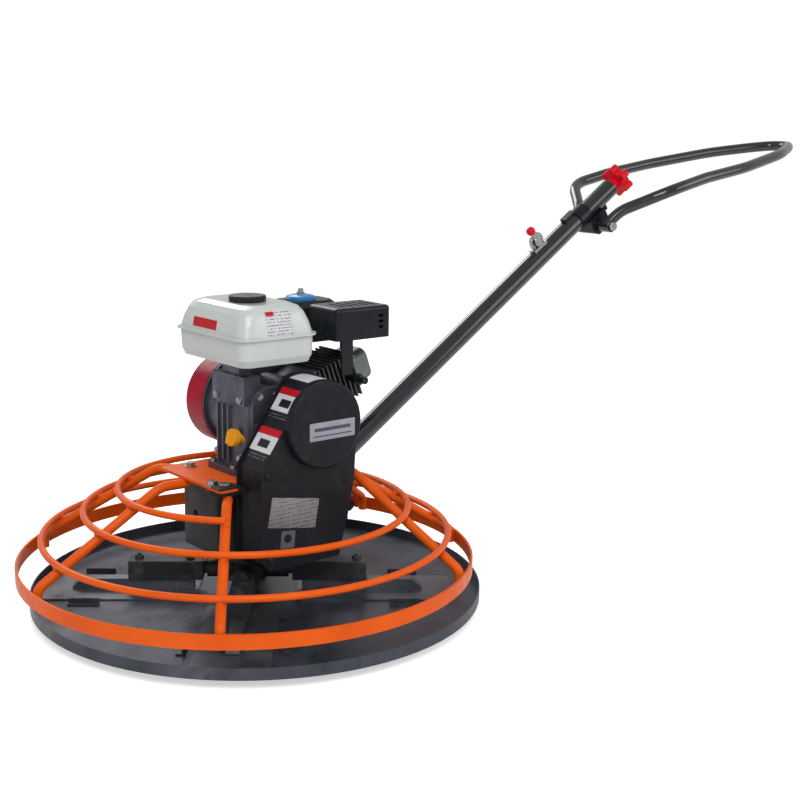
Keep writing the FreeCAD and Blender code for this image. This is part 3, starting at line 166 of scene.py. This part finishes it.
def enamel(name, color, deep, bare, gloss=(0.22, 0.42), wear=0.55, dusty=0.25, coat=0.3, specular=0.3):
    """Brushed or sprayed enamel: slight colour drift, chips at edges, settled dust."""
    s = Shader(name)
    drift = s.remap(s.noise(9.0, 5.0), 0.35, 0.68)
    base = s.mix(drift, color, deep)
    chips = s.remap(s.noise(160.0, 3.0, 0.7), 0.50, 0.62)
    worn = s.math("MULTIPLY", s.edges(), s.math("MULTIPLY", chips, wear))
    specks = s.math("MULTIPLY", s.remap(s.noise(330.0, 2.0), 0.71, 0.76), 0.55 * wear)
    bare_spots = s.math("MAXIMUM", worn, specks)
    dirt = s.math("MULTIPLY", s.remap(s.noise(26.0, 6.0, 0.65), 0.52, 0.80), dusty)
    painted = s.mix(dirt, base, DUST)
    color_out = s.mix(bare_spots, painted, bare)
    rough = s.remap(s.noise(38.0, 4.0), 0.3, 0.75, gloss[0], gloss[1])
    rough = s.math("ADD", rough, s.math("MULTIPLY", bare_spots, 0.3))
    peel = s.bump(s.noise(420.0, 2.0), 0.10, 0.0006)
    chipped = s.bump(s.math("SUBTRACT", 1.0, bare_spots), 0.25, 0.0004, peel)
    return s.finish(color_out, rough, chipped, coat=coat, specular=specular)


def raw_steel(name, dark, light, rough=(0.34, 0.62), metal=0.65, streak=NO_STRETCH, dust=0.35):
    """Mill-scale sheet: mottled, streaked and dusty."""
    s = Shader(name)
    mottle = s.remap(s.noise(7.0, 8.0, 0.62, distortion=0.6), 0.30, 0.72)
    base = s.mix(mottle, dark, light)
    cloud = s.math("MULTIPLY", s.remap(s.noise(3.1, 5.0, 0.7, distortion=1.2), 0.52, 0.74), dust)
    powder = s.mix(cloud, base, (0.33, 0.33, 0.34))
    rust = s.math("MULTIPLY", s.remap(s.noise(46.0, 6.0, 0.75), 0.66, 0.78), 0.30)
    tinted = s.mix(rust, powder, (0.20, 0.11, 0.06))
    lines = s.noise(90.0, 4.0, 0.6, stretch=streak)
    roughness = s.remap(s.math("ADD", s.math("MULTIPLY", mottle, 0.6), s.math("MULTIPLY", lines, 0.4)),
                        0.2, 0.8, rough[0], rough[1])
    fine = s.bump(lines, 0.12, 0.0008)
    dents = s.bump(s.noise(5.0, 2.0), 0.20, 0.004, fine)
    return s.finish(tinted, roughness, dents, metallic=metal)


def casting(name, light, dark, rough=(0.38, 0.60), metal=0.75, grain=380.0, grime=0.5):
    """Die-cast or sand-cast metal with grainy skin and grime in noise patches."""
    s = Shader(name)
    patch = s.remap(s.noise(14.0, 5.0, 0.6), 0.32, 0.70)
    base = s.mix(patch, light, dark)
    soot = s.math("MULTIPLY", s.remap(s.noise(34.0, 7.0, 0.7), 0.54, 0.76), grime)
    dirty = s.mix(soot, base, (0.055, 0.05, 0.045))
    bright = s.mix(s.math("MULTIPLY", s.edges(0.0009), 0.5), dirty, (0.72, 0.72, 0.72))
    skin = s.bump(s.noise(grain, 3.0, 0.6), 0.22, 0.0007)
    pits = s.bump(s.cells(grain * 0.5), 0.06, 0.0006, skin)
    return s.finish(bright, s.remap(patch, 0.0, 1.0, rough[0], rough[1]), pits, metallic=metal)


def plastic(name, color, lighter, rough=(0.34, 0.50), grain=700.0, grain_depth=0.10, dusty=0.18,
            coat=0.0, specular=0.3):
    """Moulded plastic or rubber: fine grain, faint dust."""
    s = Shader(name)
    shade = s.mix(s.remap(s.noise(12.0, 3.0), 0.35, 0.7), color, lighter)
    dust = s.math("MULTIPLY", s.remap(s.noise(40.0, 6.0, 0.7), 0.55, 0.8), dusty)
    dusted = s.mix(dust, shade, (0.35, 0.34, 0.32))
    grains = s.bump(s.cells(grain), grain_depth, 0.0005)
    soft = s.bump(s.noise(60.0, 2.0), 0.05, 0.001, grains)
    roughness = s.remap(s.noise(55.0, 4.0), 0.3, 0.7, rough[0], rough[1])
    return s.finish(dusted, roughness, soft, coat=coat, specular=specular)


def plated(name, color, tint, rough=(0.20, 0.36)):
    """Zinc-plated or ground steel with fine turning lines."""
    s = Shader(name)
    shade = s.mix(s.remap(s.noise(60.0, 4.0), 0.35, 0.7), color, tint)
    oil = s.math("MULTIPLY", s.remap(s.noise(90.0, 5.0, 0.7), 0.56, 0.74), 0.4)
    toned = s.mix(oil, shade, (0.16, 0.14, 0.12))
    lines = s.noise(500.0, 2.0, 0.5, stretch=(1.0, 1.0, 4.0))
    roughness = s.remap(lines, 0.3, 0.7, rough[0], rough[1])
    return s.finish(toned, roughness, s.bump(lines, 0.08, 0.0004), metallic=1.0)


def label(name, color, ink=None, lines_per_metre=0.0, inked=0.0, metal=0.0):
    """Printed film or stamped plate; ink adds soft rows that are not letters."""
    s = Shader(name)
    age = s.mix(s.remap(s.noise(45.0, 5.0), 0.42, 0.75), color, tuple(c * 0.86 for c in color))
    if ink:
        axis = s.add("ShaderNodeSeparateXYZ")
        s.link(s.place, axis.inputs[0])
        rows = s.math("SINE", s.math("MULTIPLY", axis.outputs["Z"], lines_per_metre * 2 * math.pi))
        ragged = s.remap(s.noise(230.0, 1.0), 0.44, 0.50)
        printed = s.math("MULTIPLY", s.remap(rows, 0.35, 0.5), ragged)
        age = s.mix(s.math("MULTIPLY", printed, inked), age, ink)
    scuffs = s.noise(260.0, 4.0, 0.7)
    roughness = s.remap(scuffs, 0.3, 0.7, 0.38, 0.55)
    return s.finish(age, roughness, s.bump(scuffs, 0.05, 0.0003), metallic=metal, specular=0.2)


M = {
    "orange": enamel("orange_enamel", (0.80, 0.112, 0.004), (0.71, 0.088, 0.003), (0.16, 0.10, 0.07),
                     (0.26, 0.46), dusty=0.03, coat=0.0, specular=0.15),
    "black": enamel("black_enamel", (0.0055, 0.0075, 0.010), (0.009, 0.011, 0.015), (0.15, 0.15, 0.16),
                    (0.16, 0.34), wear=0.3, dusty=0.02, coat=0.0, specular=0.25),
    "pole_black": enamel("pole_black", (0.0055, 0.0075, 0.010), (0.009, 0.011, 0.015), (0.15, 0.15, 0.16),
                         (0.10, 0.22), wear=0.3, dusty=0.02, coat=0.5, specular=0.5),
    "guard_black": enamel("guard_black", (0.007, 0.0075, 0.011), (0.012, 0.013, 0.018), (0.12, 0.12, 0.13),
                          (0.38, 0.54), wear=0.25, dusty=0.03, coat=0.0, specular=0.2),
    "pan": raw_steel("pan_steel", (0.028, 0.034, 0.046), (0.088, 0.096, 0.120), (0.24, 0.50), 0.60,
                     dust=0.28),
    "blade": raw_steel("blade_steel", (0.065, 0.070, 0.082), (0.18, 0.19, 0.215), (0.28, 0.50), 0.75,
                       streak=(1.0, 1.0, 0.2), dust=0.25),
    "arm": enamel("arm_black", (0.014, 0.015, 0.018), (0.026, 0.027, 0.031), (0.24, 0.24, 0.25),
                  (0.36, 0.58), wear=0.8, dusty=0.20, coat=0.0),
    "gear": casting("gearbox_grey", (0.062, 0.066, 0.072), (0.036, 0.038, 0.043), (0.42, 0.62), 0.35,
                    260.0, 0.5),
    "alloy": casting("cast_alloy", (0.130, 0.138, 0.170), (0.078, 0.084, 0.106), (0.34, 0.54), 0.75,
                     420.0, 0.55),
    "head": casting("head_alloy", (0.20, 0.215, 0.215), (0.14, 0.155, 0.155), (0.34, 0.54), 0.70,
                    420.0, 0.35),
    "fins": casting("fin_alloy", (0.060, 0.063, 0.070), (0.032, 0.034, 0.038), (0.38, 0.58), 0.60,
                    420.0, 0.45),
    "tank": enamel("tank_white", (0.55, 0.585, 0.565), (0.51, 0.545, 0.525), (0.45, 0.43, 0.38),
                   (0.14, 0.26), wear=0.12, dusty=0.03, coat=0.3),
    "red": enamel("starter_red", (0.46, 0.004, 0.030), (0.36, 0.003, 0.023), (0.30, 0.26, 0.25),
                  (0.18, 0.34), wear=0.3, dusty=0.02, coat=0.0, specular=0.12),
    "red_plastic": plastic("red_plastic", (0.70, 0.004, 0.013), (0.60, 0.003, 0.010), (0.22, 0.34),
                           600.0, 0.04, 0.02, specular=0.2),
    "black_plastic": plastic("black_plastic", (0.008, 0.009, 0.012), (0.014, 0.016, 0.020), (0.36, 0.54),
                             dusty=0.06),
    "blue_plastic": plastic("blue_plastic", (0.010, 0.165, 0.42), (0.014, 0.21, 0.49), (0.22, 0.36),
                            600.0, 0.04, 0.03, coat=0.2),
    "yellow": plastic("yellow_plastic", (0.80, 0.36, 0.015), (0.74, 0.32, 0.012), (0.34, 0.50),
                      500.0, 0.06, 0.12),
    "rubber": plastic("belt_rubber", (0.014, 0.014, 0.014), (0.022, 0.022, 0.022), (0.62, 0.82),
                      900.0, 0.2, 0.2),
    "zinc": plated("zinc_steel", (0.52, 0.52, 0.53), (0.42, 0.41, 0.40)),
    "ground": plated("ground_steel", (0.46, 0.46, 0.47), (0.36, 0.36, 0.37), (0.16, 0.30)),
    "print_white": label("print_white", (0.62, 0.63, 0.65)),
    "print_rows": label("print_rows", (0.60, 0.61, 0.63), (0.10, 0.10, 0.12), 165.0, 0.80),
    "print_faint": label("print_faint", (0.010, 0.012, 0.016), (0.16, 0.17, 0.18), 190.0, 0.75),
    "print_red": label("print_red", (0.50, 0.008, 0.018)),
    "print_grey": label("print_grey", (0.075, 0.075, 0.105)),
    "print_dark": label("print_dark", (0.012, 0.013, 0.017)),
    "plate_silver": label("plate_silver", (0.33, 0.32, 0.37), metal=0.25),
    "plate_dark": label("plate_dark", (0.13, 0.13, 0.155), metal=0.3),
    "plate_grey": label("plate_grey", (0.27, 0.255, 0.27), (0.08, 0.075, 0.08), 120.0, 0.7, metal=0.3),
}

DRESS = {
    "orange": "deck_plate guard_band guard_rings guard_spokes",
    "guard_black": "belt_guard_back belt_guard_cover belt_guard_cap",
    "black": "pole_socket handle_bracket muffler muffler_shield pitch_yoke",
    "pole_black": "handle_pole handle_loop",
    "arm": "pressure_plate spider_hub arm_front_left arm_front_right arm_rear_left arm_rear_right",
    "pan": "float_pan",
    "blade": "blade_front_left blade_front_right blade_rear_left blade_rear_right",
    "gear": "gearbox_housing gearbox_lid clutch_drum gearbox_pulley clutch_shoes",
    "ground": "gearbox_bearings rotor_shaft worm_wheel worm_shaft crankshaft",
    "zinc": "frame_fasteners throttle_bracket throttle_lever air_cleaner_knob",
    "alloy": "crankcase crankcase_cover blower_housing carburettor flywheel_fan",
    "fins": "finned_cylinder",
    "head": "head_cover",
    "tank": "fuel_tank",
    "red": "starter_cover",
    "red_plastic": "pitch_knob throttle_ball",
    "black_plastic": "air_cleaner_case air_cleaner_lid fuel_cap starter_grip choke_lever pitch_cable "
                     "throttle_cable spark_plug_boot",
    "yellow": "oil_dipstick",
    "rubber": "drive_belt",
}
for key, names in DRESS.items():
    for node in names.split():
        target = NODES[node]
        target.data.materials.clear()
        target.data.materials.append(M[key])


# ---------------------------------------------------------------- pieces

SHARP_ANGLE = math.radians(35)


def piece(name, mesh, material, body="frame", smooth=True):
    """A new object with one material; it rides on a body unless body is None."""
    obj = bpy.data.objects.new(name, mesh)
    bpy.context.scene.collection.objects.link(obj)
    mesh.materials.append(M[material])
    if smooth:
        for face in mesh.polygons:
            face.use_smooth = True
        mesh.set_sharp_from_angle(angle=SHARP_ANGLE)
    if body:
        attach(obj, body)
    return obj


def basis(origin, across, up):
    """A matrix whose X runs along across, Y along up and Z out of the surface."""
    x = Vector(across).normalized()
    y = Vector(up)
    y = (y - x * y.dot(x)).normalized()
    z = x.cross(y)
    matrix = Matrix((x, y, z)).transposed().to_4x4()
    matrix.translation = Vector(origin)
    return matrix


CORNER_STEPS = 5


def plate_mesh(name, width, height, corner, thick, matrix):
    """A thin plate with round corners, its back on the matrix's plane."""
    work = bmesh.new()
    outline = []
    for cx, cy, first in ((1, 1, 0), (-1, 1, 90), (-1, -1, 180), (1, -1, 270)):
        for step in range(CORNER_STEPS + 1):
            angle = math.radians(first + 90 * step / CORNER_STEPS)
            outline.append((cx * (width / 2 - corner) + corner * math.cos(angle),
                            cy * (height / 2 - corner) + corner * math.sin(angle)))
    low = [work.verts.new(matrix @ Vector((x, y, 0))) for x, y in outline]
    edge = thick * 0.3
    mid = [work.verts.new(matrix @ Vector((x, y, thick - edge))) for x, y in outline]
    shrink = 1 - 2 * edge / min(width, height)
    top = [work.verts.new(matrix @ Vector((x * shrink, y * shrink, thick))) for x, y in outline]
    count = len(outline)
    for ring, following in ((low, mid), (mid, top)):
        for step in range(count):
            nxt = (step + 1) % count
            work.faces.new((ring[step], ring[nxt], following[nxt], following[step]))
    work.faces.new(top)
    work.faces.new(low[::-1])
    mesh = bpy.data.meshes.new(name)
    work.to_mesh(mesh)
    work.free()
    return mesh


# metres: how far out a film's rays start, and how deep its back sits in the surface
FILM_REACH = 0.04
FILM_SINK = 0.0002


def film_mesh(name, node, matrix, width, height, thick, columns=10, rows=8):
    """A thin film laid on a node's surface, which it meets along the matrix's Z."""
    source = NODES[node].data
    surface = BVHTree.FromPolygons([vertex.co for vertex in source.vertices],
                                   [face.vertices for face in source.polygons])
    out = matrix.to_3x3().col[2]
    work = bmesh.new()
    layers = ([], [])
    for row in range(rows + 1):
        for column in range(columns + 1):
            flat = Vector(((column / columns - 0.5) * width, (row / rows - 0.5) * height, FILM_REACH))
            place, normal, _, _ = surface.ray_cast(matrix @ flat, -out)
            if normal.dot(out) < 0:
                normal = -normal
            layers[0].append(work.verts.new(place - normal * FILM_SINK))
            layers[1].append(work.verts.new(place + normal * thick))
    wide = columns + 1
    for row in range(rows):
        for column in range(columns):
            first = row * wide + column
            corners = (first, first + 1, first + wide + 1, first + wide)
            work.faces.new([layers[1][index] for index in corners])
            work.faces.new([layers[0][index] for index in reversed(corners)])
    border = (list(range(wide)) + [row * wide + columns for row in range(1, rows + 1)]
              + [rows * wide + column for column in reversed(range(columns))]
              + [row * wide for row in reversed(range(1, rows))])
    for first, second in zip(border, border[1:] + border[:1]):
        work.faces.new((layers[0][first], layers[0][second], layers[1][second], layers[1][first]))
    bmesh.ops.recalc_face_normals(work, faces=work.faces)
    mesh = bpy.data.meshes.new(name)
    work.to_mesh(mesh)
    work.free()
    return mesh


def turned_mesh(name, profile, matrix, steps):
    """A shape turned round the matrix's Z from (radius, height) pairs; six steps give a hexagon."""
    work = bmesh.new()
    rings = []
    for radius, height in profile:
        ring = []
        for step in range(steps):
            angle = 2 * math.pi * step / steps
            spot = Vector((radius * math.cos(angle), radius * math.sin(angle), height))
            ring.append(work.verts.new(matrix @ spot))
        rings.append(ring)
    for lower, upper in zip(rings, rings[1:]):
        for step in range(steps):
            nxt = (step + 1) % steps
            work.faces.new((lower[step], lower[nxt], upper[nxt], upper[step]))
    work.faces.new(rings[0][::-1])
    work.faces.new(rings[-1])
    mesh = bpy.data.meshes.new(name)
    work.to_mesh(mesh)
    work.free()
    return mesh


def merged(name, meshes):
    work = bmesh.new()
    for mesh in meshes:
        work.from_mesh(mesh)
        bpy.data.meshes.remove(mesh)
    mesh = bpy.data.meshes.new(name)
    work.to_mesh(mesh)
    work.free()
    return mesh


def bolt(point, direction, across=0.006, high=0.005, washer=0.0):
    """A hexagon head, with a washer under it if one is asked for."""
    out = Vector(direction).normalized()
    side = Vector((0.3, 0.2, 1.0)) if abs(out.z) < 0.9 else Vector((1.0, 0.2, 0.1))
    matrix = basis(point, side.cross(out), side)
    if matrix.to_3x3().col[2].dot(out) < 0:
        matrix = matrix @ Matrix.Rotation(math.pi, 4, "X")
    shapes = []
    if washer:
        shapes.append(turned_mesh("w", [(washer, 0), (washer, 0.0012), (washer * 0.9, 0.0016)], matrix, 20))
    profile = [(across, 0.001), (across, high * 0.85), (across * 0.85, high)]
    shapes.append(turned_mesh("h", profile, matrix, steps=6))
    return shapes


def centre_of(node):
    low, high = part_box(node)
    return (low + high) / 2


def film(name, node, matrix, size, thick, material):
    piece(name, film_mesh(name, node, matrix, size[0], size[1], thick), material)


# sizes of the plates and strips, in metres: width, height, corner radius, thickness
NAME_PLATE = (0.113, 0.037, 0.002, 0.0010)
DATA_PLATE = (0.117, 0.062, 0.0025, 0.0012)
LOCK_PLATE = (0.034, 0.036, 0.003, 0.0012)
GUARD_TAB = (0.048, 0.038, 0.005, 0.0035)
COVER_TOP_RADIUS = 0.091
COVER_SLANT = 0.075
SLANT_ANGLE = 145
NOTICE_LEVELS = (0.0007, -0.0893)
NOTICE_PARTS = (
    # part, offset along the slant, width and height, material, thickness
    ("head", 0.0255, (0.072, 0.015), "print_red", 0.0006),
    ("panel", -0.001, (0.072, 0.037), "print_white", 0.0006),
    ("block", -0.001, (0.034, 0.017), "print_dark", 0.0010),
    ("rows", -0.0295, (0.062, 0.018), "print_faint", 0.0005),
)


def dress_cap():
    """A plain name plate with two dark strips on the belt guard's round cap."""
    low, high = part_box("belt_guard_cap")
    cap = (low + high) / 2
    plate_x = cap.x + 0.014
    matrix = basis((plate_x, low.y, cap.z - 0.010), (1, 0, 0), (0, 0, 1))
    piece("cap_name_plate", plate_mesh("p", *NAME_PLATE, matrix), "plate_silver")
    strips = []
    for drop, width, height in ((0.006, 0.090, 0.0070), (0.0195, 0.096, 0.0025)):
        matrix = basis((plate_x, low.y - 0.0010, cap.z - drop), (1, 0, 0), (0, 0, 1))
        strips.append(plate_mesh("p", width, height, 0.001, 0.0003, matrix))
    piece("cap_name_strips", merged("cap_name_strips", strips), "print_grey")


def dress_guard_face():
    """The data plate and the lock on the belt guard, and the tab on the deck beside it."""
    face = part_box("belt_guard_cover")[0].y
    leaning_up = (0.1, 0, 1)
    matrix = basis((-0.005, face, 0.216), (1, 0, -0.18), leaning_up)
    piece("guard_data_plate", plate_mesh("p", *DATA_PLATE, matrix), "plate_grey")
    matrix = basis((-0.020, face, 0.163), (1, 0, -0.10), leaning_up)
    piece("guard_lock_plate", plate_mesh("p", *LOCK_PLATE, matrix), "plate_dark")
    matrix = basis((-0.0205, face - 0.0010, 0.166), (1, 0, -0.10), leaning_up)
    profile = [(0.0085, 0.0), (0.0085, 0.0012), (0.0065, 0.0018), (0.0030, 0.0012)]
    piece("guard_lock", turned_mesh("lock", profile, matrix, 24), "black")
    deck_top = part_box("deck_plate")[1].z
    matrix = basis((-0.127, -0.115, deck_top), (1, 0, 0), (0, 1, 0))
    piece("guard_tab", plate_mesh("p", *GUARD_TAB, matrix), "guard_black")


def dress_guard_slant():
    """Two notices without pictograms on the belt guard's slanting side, and a strip over its top."""
    cap = centre_of("belt_guard_cap")
    low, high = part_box("belt_guard_cover")
    middle_y = (low.y + high.y) / 2
    slant = math.radians(SLANT_ANGLE)
    normal = Vector((math.cos(slant), 0, math.sin(slant)))
    run = Vector((normal.z, 0, -normal.x))
    foot = Vector((cap.x, middle_y, cap.z)) + normal * COVER_SLANT
    for number, level in enumerate(NOTICE_LEVELS):
        for part, offset, size, material, thick in NOTICE_PARTS:
            name = "guard_notice_%d_%s" % (number, part)
            matrix = basis(foot + run * (level + offset), (0, -1, 0), run)
            film(name, "belt_guard_cover", matrix, size, thick, material)
    crown = math.radians(93)
    out = Vector((math.cos(crown), 0, math.sin(crown)))
    spot = Vector((cap.x, middle_y + 0.001, cap.z)) + out * COVER_TOP_RADIUS
    matrix = basis(spot, (0, -1, 0), (out.z, 0, -out.x))
    film("guard_top_strip", "belt_guard_cover", matrix, (0.066, 0.046), 0.0005, "print_white")


def dress_guard_screws():
    """The screws that hold the belt guard's cover."""
    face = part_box("belt_guard_cover")[0].y
    shapes = []
    for x, z in ((-0.066, 0.300), (-0.062, 0.128), (0.094, 0.124), (0.128, 0.262)):
        shapes += bolt((x, face, z), (0, -1, 0), 0.0055, 0.004, 0.008)
    piece("guard_screws", merged("guard_screws", shapes), "black", smooth=False)


def dress_tank():
    """Plain strips and a printed panel on the fuel tank."""
    low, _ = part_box("fuel_tank")
    matrix = basis((low.x, 0.024, 0.5835), (0, -1, 0), (0, 0, 1))
    film("tank_front_strip", "fuel_tank", matrix, (0.088, 0.019), 0.0004, "print_red")
    matrix = basis((0.006, low.y, 0.593), (1, 0, 0), (0, 0, 1))
    film("tank_side_panel", "fuel_tank", matrix, (0.062, 0.048), 0.0004, "print_rows")
    matrix = basis((-0.014, low.y, 0.612), (1, 0, 0), (0, 0, 1))
    film("tank_side_mark", "fuel_tank", matrix, (0.019, 0.007), 0.0008, "print_red")


def dress_engine():
    """Screws on the engine's castings and the blue dome of the air cleaner."""
    shapes = []
    cover_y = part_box("crankcase_cover")[0].y + 0.0095
    for x in (-0.020, 0.020, 0.100):
        shapes += bolt((x, cover_y, 0.440), (0, -1, 0), 0.0055, 0.005, 0.008)
    for y, z in ((-0.050, 0.432), (0.036, 0.432), (0.036, 0.312), (-0.050, 0.310)):
        shapes += bolt((-0.050, y, z), (-1, 0, 0), 0.006, 0.006, 0.0085)
    starter = centre_of("starter_cover")
    starter_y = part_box("starter_cover")[1].y - 0.0015
    screw_circle = 0.086
    for step in range(6):
        angle = math.radians(20 + 60 * step)
        x = starter.x + screw_circle * math.cos(angle)
        z = starter.z + screw_circle * math.sin(angle)
        shapes += bolt((x, starter_y, z), (0, 1, 0), 0.0045, 0.004, 0.007)
    piece("engine_screws", merged("engine_screws", shapes), "zinc", smooth=False)
    knob = centre_of("air_cleaner_knob")
    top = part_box("air_cleaner_lid")[1].z
    matrix = Matrix.Translation((knob.x, knob.y, top))
    profile = [(0.0335, -0.0115), (0.0335, -0.006), (0.030, -0.0015), (0.020, 0.0012), (0.0105, 0.0016)]
    dome = turned_mesh("dome", profile, matrix, 48)
    piece("air_cleaner_dome", dome, "blue_plastic")


def starter_rope():
    """The pull rope, short at rest: a fixed piece between the cover and the grip, on no body, so it does
    not follow the grip.
    """
    radius, rings = 0.002, 24
    pull = Vector((0.6, 0.0, 0.8))
    grip = centre_of("starter_grip")
    start = grip - pull * 0.018
    end = grip - pull * 0.006
    profile = [(radius, (end - start).length * step / rings) for step in range(rings + 1)]
    matrix = basis(start, (0, 1, 0), (-pull.z, 0, pull.x))
    mesh = turned_mesh("rope", profile, matrix, 12)
    rope = piece("starter_rope", mesh, "rubber", body=None)
    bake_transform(rope)


# the finger guard's rings and sloping spokes
RING_RADII = (0.425, 0.339, 0.268)
TAB_SPOKE_ANGLES = (-129.9, -130.9, -132.3)
REAR_SPOKE_ANGLES = (20, -20)
SPOKE_SLOPE = math.radians(32)
SPOKE_FOOT = 0.464
SPOKE_FOOT_HEIGHT = 0.095
RING_LIFT = 0.014
WELD_OUT = 0.004
WELD_LIFT = 0.0115


def weld_beads():
    """Small weld fillets where the guard rings cross the spokes; the inner ring misses the rear ones."""
    bead = [(0.0045, -0.006), (0.0085, -0.003), (0.0095, 0.0), (0.0085, 0.003), (0.0045, 0.006)]
    shapes = []
    for radius, tab_angle in zip(RING_RADII, TAB_SPOKE_ANGLES):
        for angle in (176, 130, tab_angle, *REAR_SPOKE_ANGLES):
            if radius == RING_RADII[-1] and angle in REAR_SPOKE_ANGLES:
                continue
            inner = radius - RING_LIFT * math.sin(SPOKE_SLOPE) + WELD_OUT
            height = SPOKE_FOOT_HEIGHT + (SPOKE_FOOT - inner) * math.tan(SPOKE_SLOPE) + WELD_LIFT
            turn = math.radians(angle)
            spot = Vector((inner * math.cos(turn), inner * math.sin(turn), height))
            turned = Matrix.Rotation(turn, 4, "Z") @ Matrix.Rotation(SPOKE_SLOPE, 4, "Y")
            shapes.append(turned_mesh("w", bead, Matrix.Translation(spot) @ turned, 12))
    piece("guard_welds", merged("guard_welds", shapes), "orange")


# ---------------------------------------------------------------- stage

FLOOR_HALF_SIZE = 14.0
FLOOR_GAP = 0.0006
FLOOR_GLOW = 0.55
WORLD_LIGHT = 0.48
BACKDROP = 1.05
WHITE = (1.0, 1.0, 1.0, 1.0)


def camera_switch(tree, low, high):
    """A value that is high for what the camera sees directly and low for everything else."""
    switch = tree.nodes.new("ShaderNodeMapRange")
    switch.inputs["To Min"].default_value = low
    switch.inputs["To Max"].default_value = high
    path = tree.nodes.new("ShaderNodeLightPath")
    tree.links.new(path.outputs["Is Camera Ray"], switch.inputs["Value"])
    return switch.outputs["Result"]


def floor_material():
    """Pale matt paint that looks near white to the camera."""
    material = bpy.data.materials.new("floor_pale")
    material.use_nodes = True
    tree = material.node_tree
    surface = tree.nodes["Principled BSDF"]
    surface.inputs["Base Color"].default_value = (0.95, 0.95, 0.95, 1.0)
    surface.inputs["Roughness"].default_value = 0.75
    surface.inputs["Emission Color"].default_value = WHITE
    tree.links.new(camera_switch(tree, 0.0, FLOOR_GLOW), surface.inputs["Emission Strength"])
    return material


def set_floor():
    """A pale floor, low enough for the pan at the end of its travel."""
    mesh = bpy.data.meshes.new("floor")
    work = bmesh.new()
    bmesh.ops.create_grid(work, x_segments=2, y_segments=2, size=FLOOR_HALF_SIZE)
    work.to_mesh(mesh)
    work.free()
    mesh.materials.append(floor_material())
    floor = bpy.data.objects.new("floor", mesh)
    bpy.context.scene.collection.objects.link(floor)
    joints = frame["record"]["behaviour"]["joints"]
    travel = next(joint["range_m"][1] for joint in joints if joint["name"] == "pan_drop")
    floor.location.z = -travel - FLOOR_GAP


def set_world():
    """Even white studio light, with the backdrop itself shown white."""
    world = bpy.data.worlds.new("studio")
    world.use_nodes = True
    tree = world.node_tree
    background = tree.nodes["Background"]
    background.inputs["Color"].default_value = WHITE
    tree.links.new(camera_switch(tree, WORLD_LIGHT, BACKDROP), background.inputs["Strength"])
    bpy.context.scene.world = world
    bpy.context.scene.view_settings.view_transform = "Standard"


# name, place, aim, size, watts
LAMPS = (
    ("key", (-1.6, -2.6, 3.2), (0.1, 0.0, 0.3), (2.2, 2.2), 88.0),
    ("fill", (2.6, -2.4, 1.8), (0.4, 0.0, 0.4), (2.4, 1.6), 22.0),
    ("rim", (0.6, 3.0, 2.6), (0.1, 0.0, 0.4), (3.0, 1.4), 55.0),
)


def area_light(name, place, aim, size, energy):
    data = bpy.data.lights.new(name, "AREA")
    data.shape = "RECTANGLE"
    data.size, data.size_y = size
    data.energy = energy
    lamp = bpy.data.objects.new(name, data)
    bpy.context.scene.collection.objects.link(lamp)
    lamp.location = place
    lamp.rotation_mode = "QUATERNION"
    lamp.rotation_quaternion = (Vector(aim) - Vector(place)).to_track_quat("-Z", "Y")


# heading from +Y towards +X, downward dip and roll, in degrees
CAMERA_ANGLES = (40.0, 11.91, 0.8)
CAMERA_PLACE = (-1.458, -2.235, 0.981)
CAMERA_LENS = 58.5
CAMERA_SENSOR = 36.0


def set_camera():
    """The photograph's viewpoint: front left of the machine, a little above its engine."""
    heading, dip, roll = (math.radians(angle) for angle in CAMERA_ANGLES)
    forward = Vector((math.sin(heading) * math.cos(dip), math.cos(heading) * math.cos(dip), -math.sin(dip)))
    level = Vector((math.cos(heading), -math.sin(heading), 0.0))
    above = level.cross(forward)
    right = level * math.cos(roll) + above * math.sin(roll)
    up = right.cross(forward)
    rotation = Matrix((right, up, -forward)).transposed().to_4x4()
    data = bpy.data.cameras.new("camera")
    data.lens = CAMERA_LENS
    data.sensor_width = CAMERA_SENSOR
    camera = bpy.data.objects.new("camera", data)
    bpy.context.scene.collection.objects.link(camera)
    camera.matrix_world = Matrix.Translation(CAMERA_PLACE) @ rotation
    bpy.context.scene.camera = camera


set_floor()
set_world()
set_camera()
for lamp in LAMPS:
    area_light(*lamp)
dress_cap()
dress_guard_face()
dress_guard_slant()
dress_guard_screws()
dress_tank()
dress_engine()
starter_rope()
weld_beads()
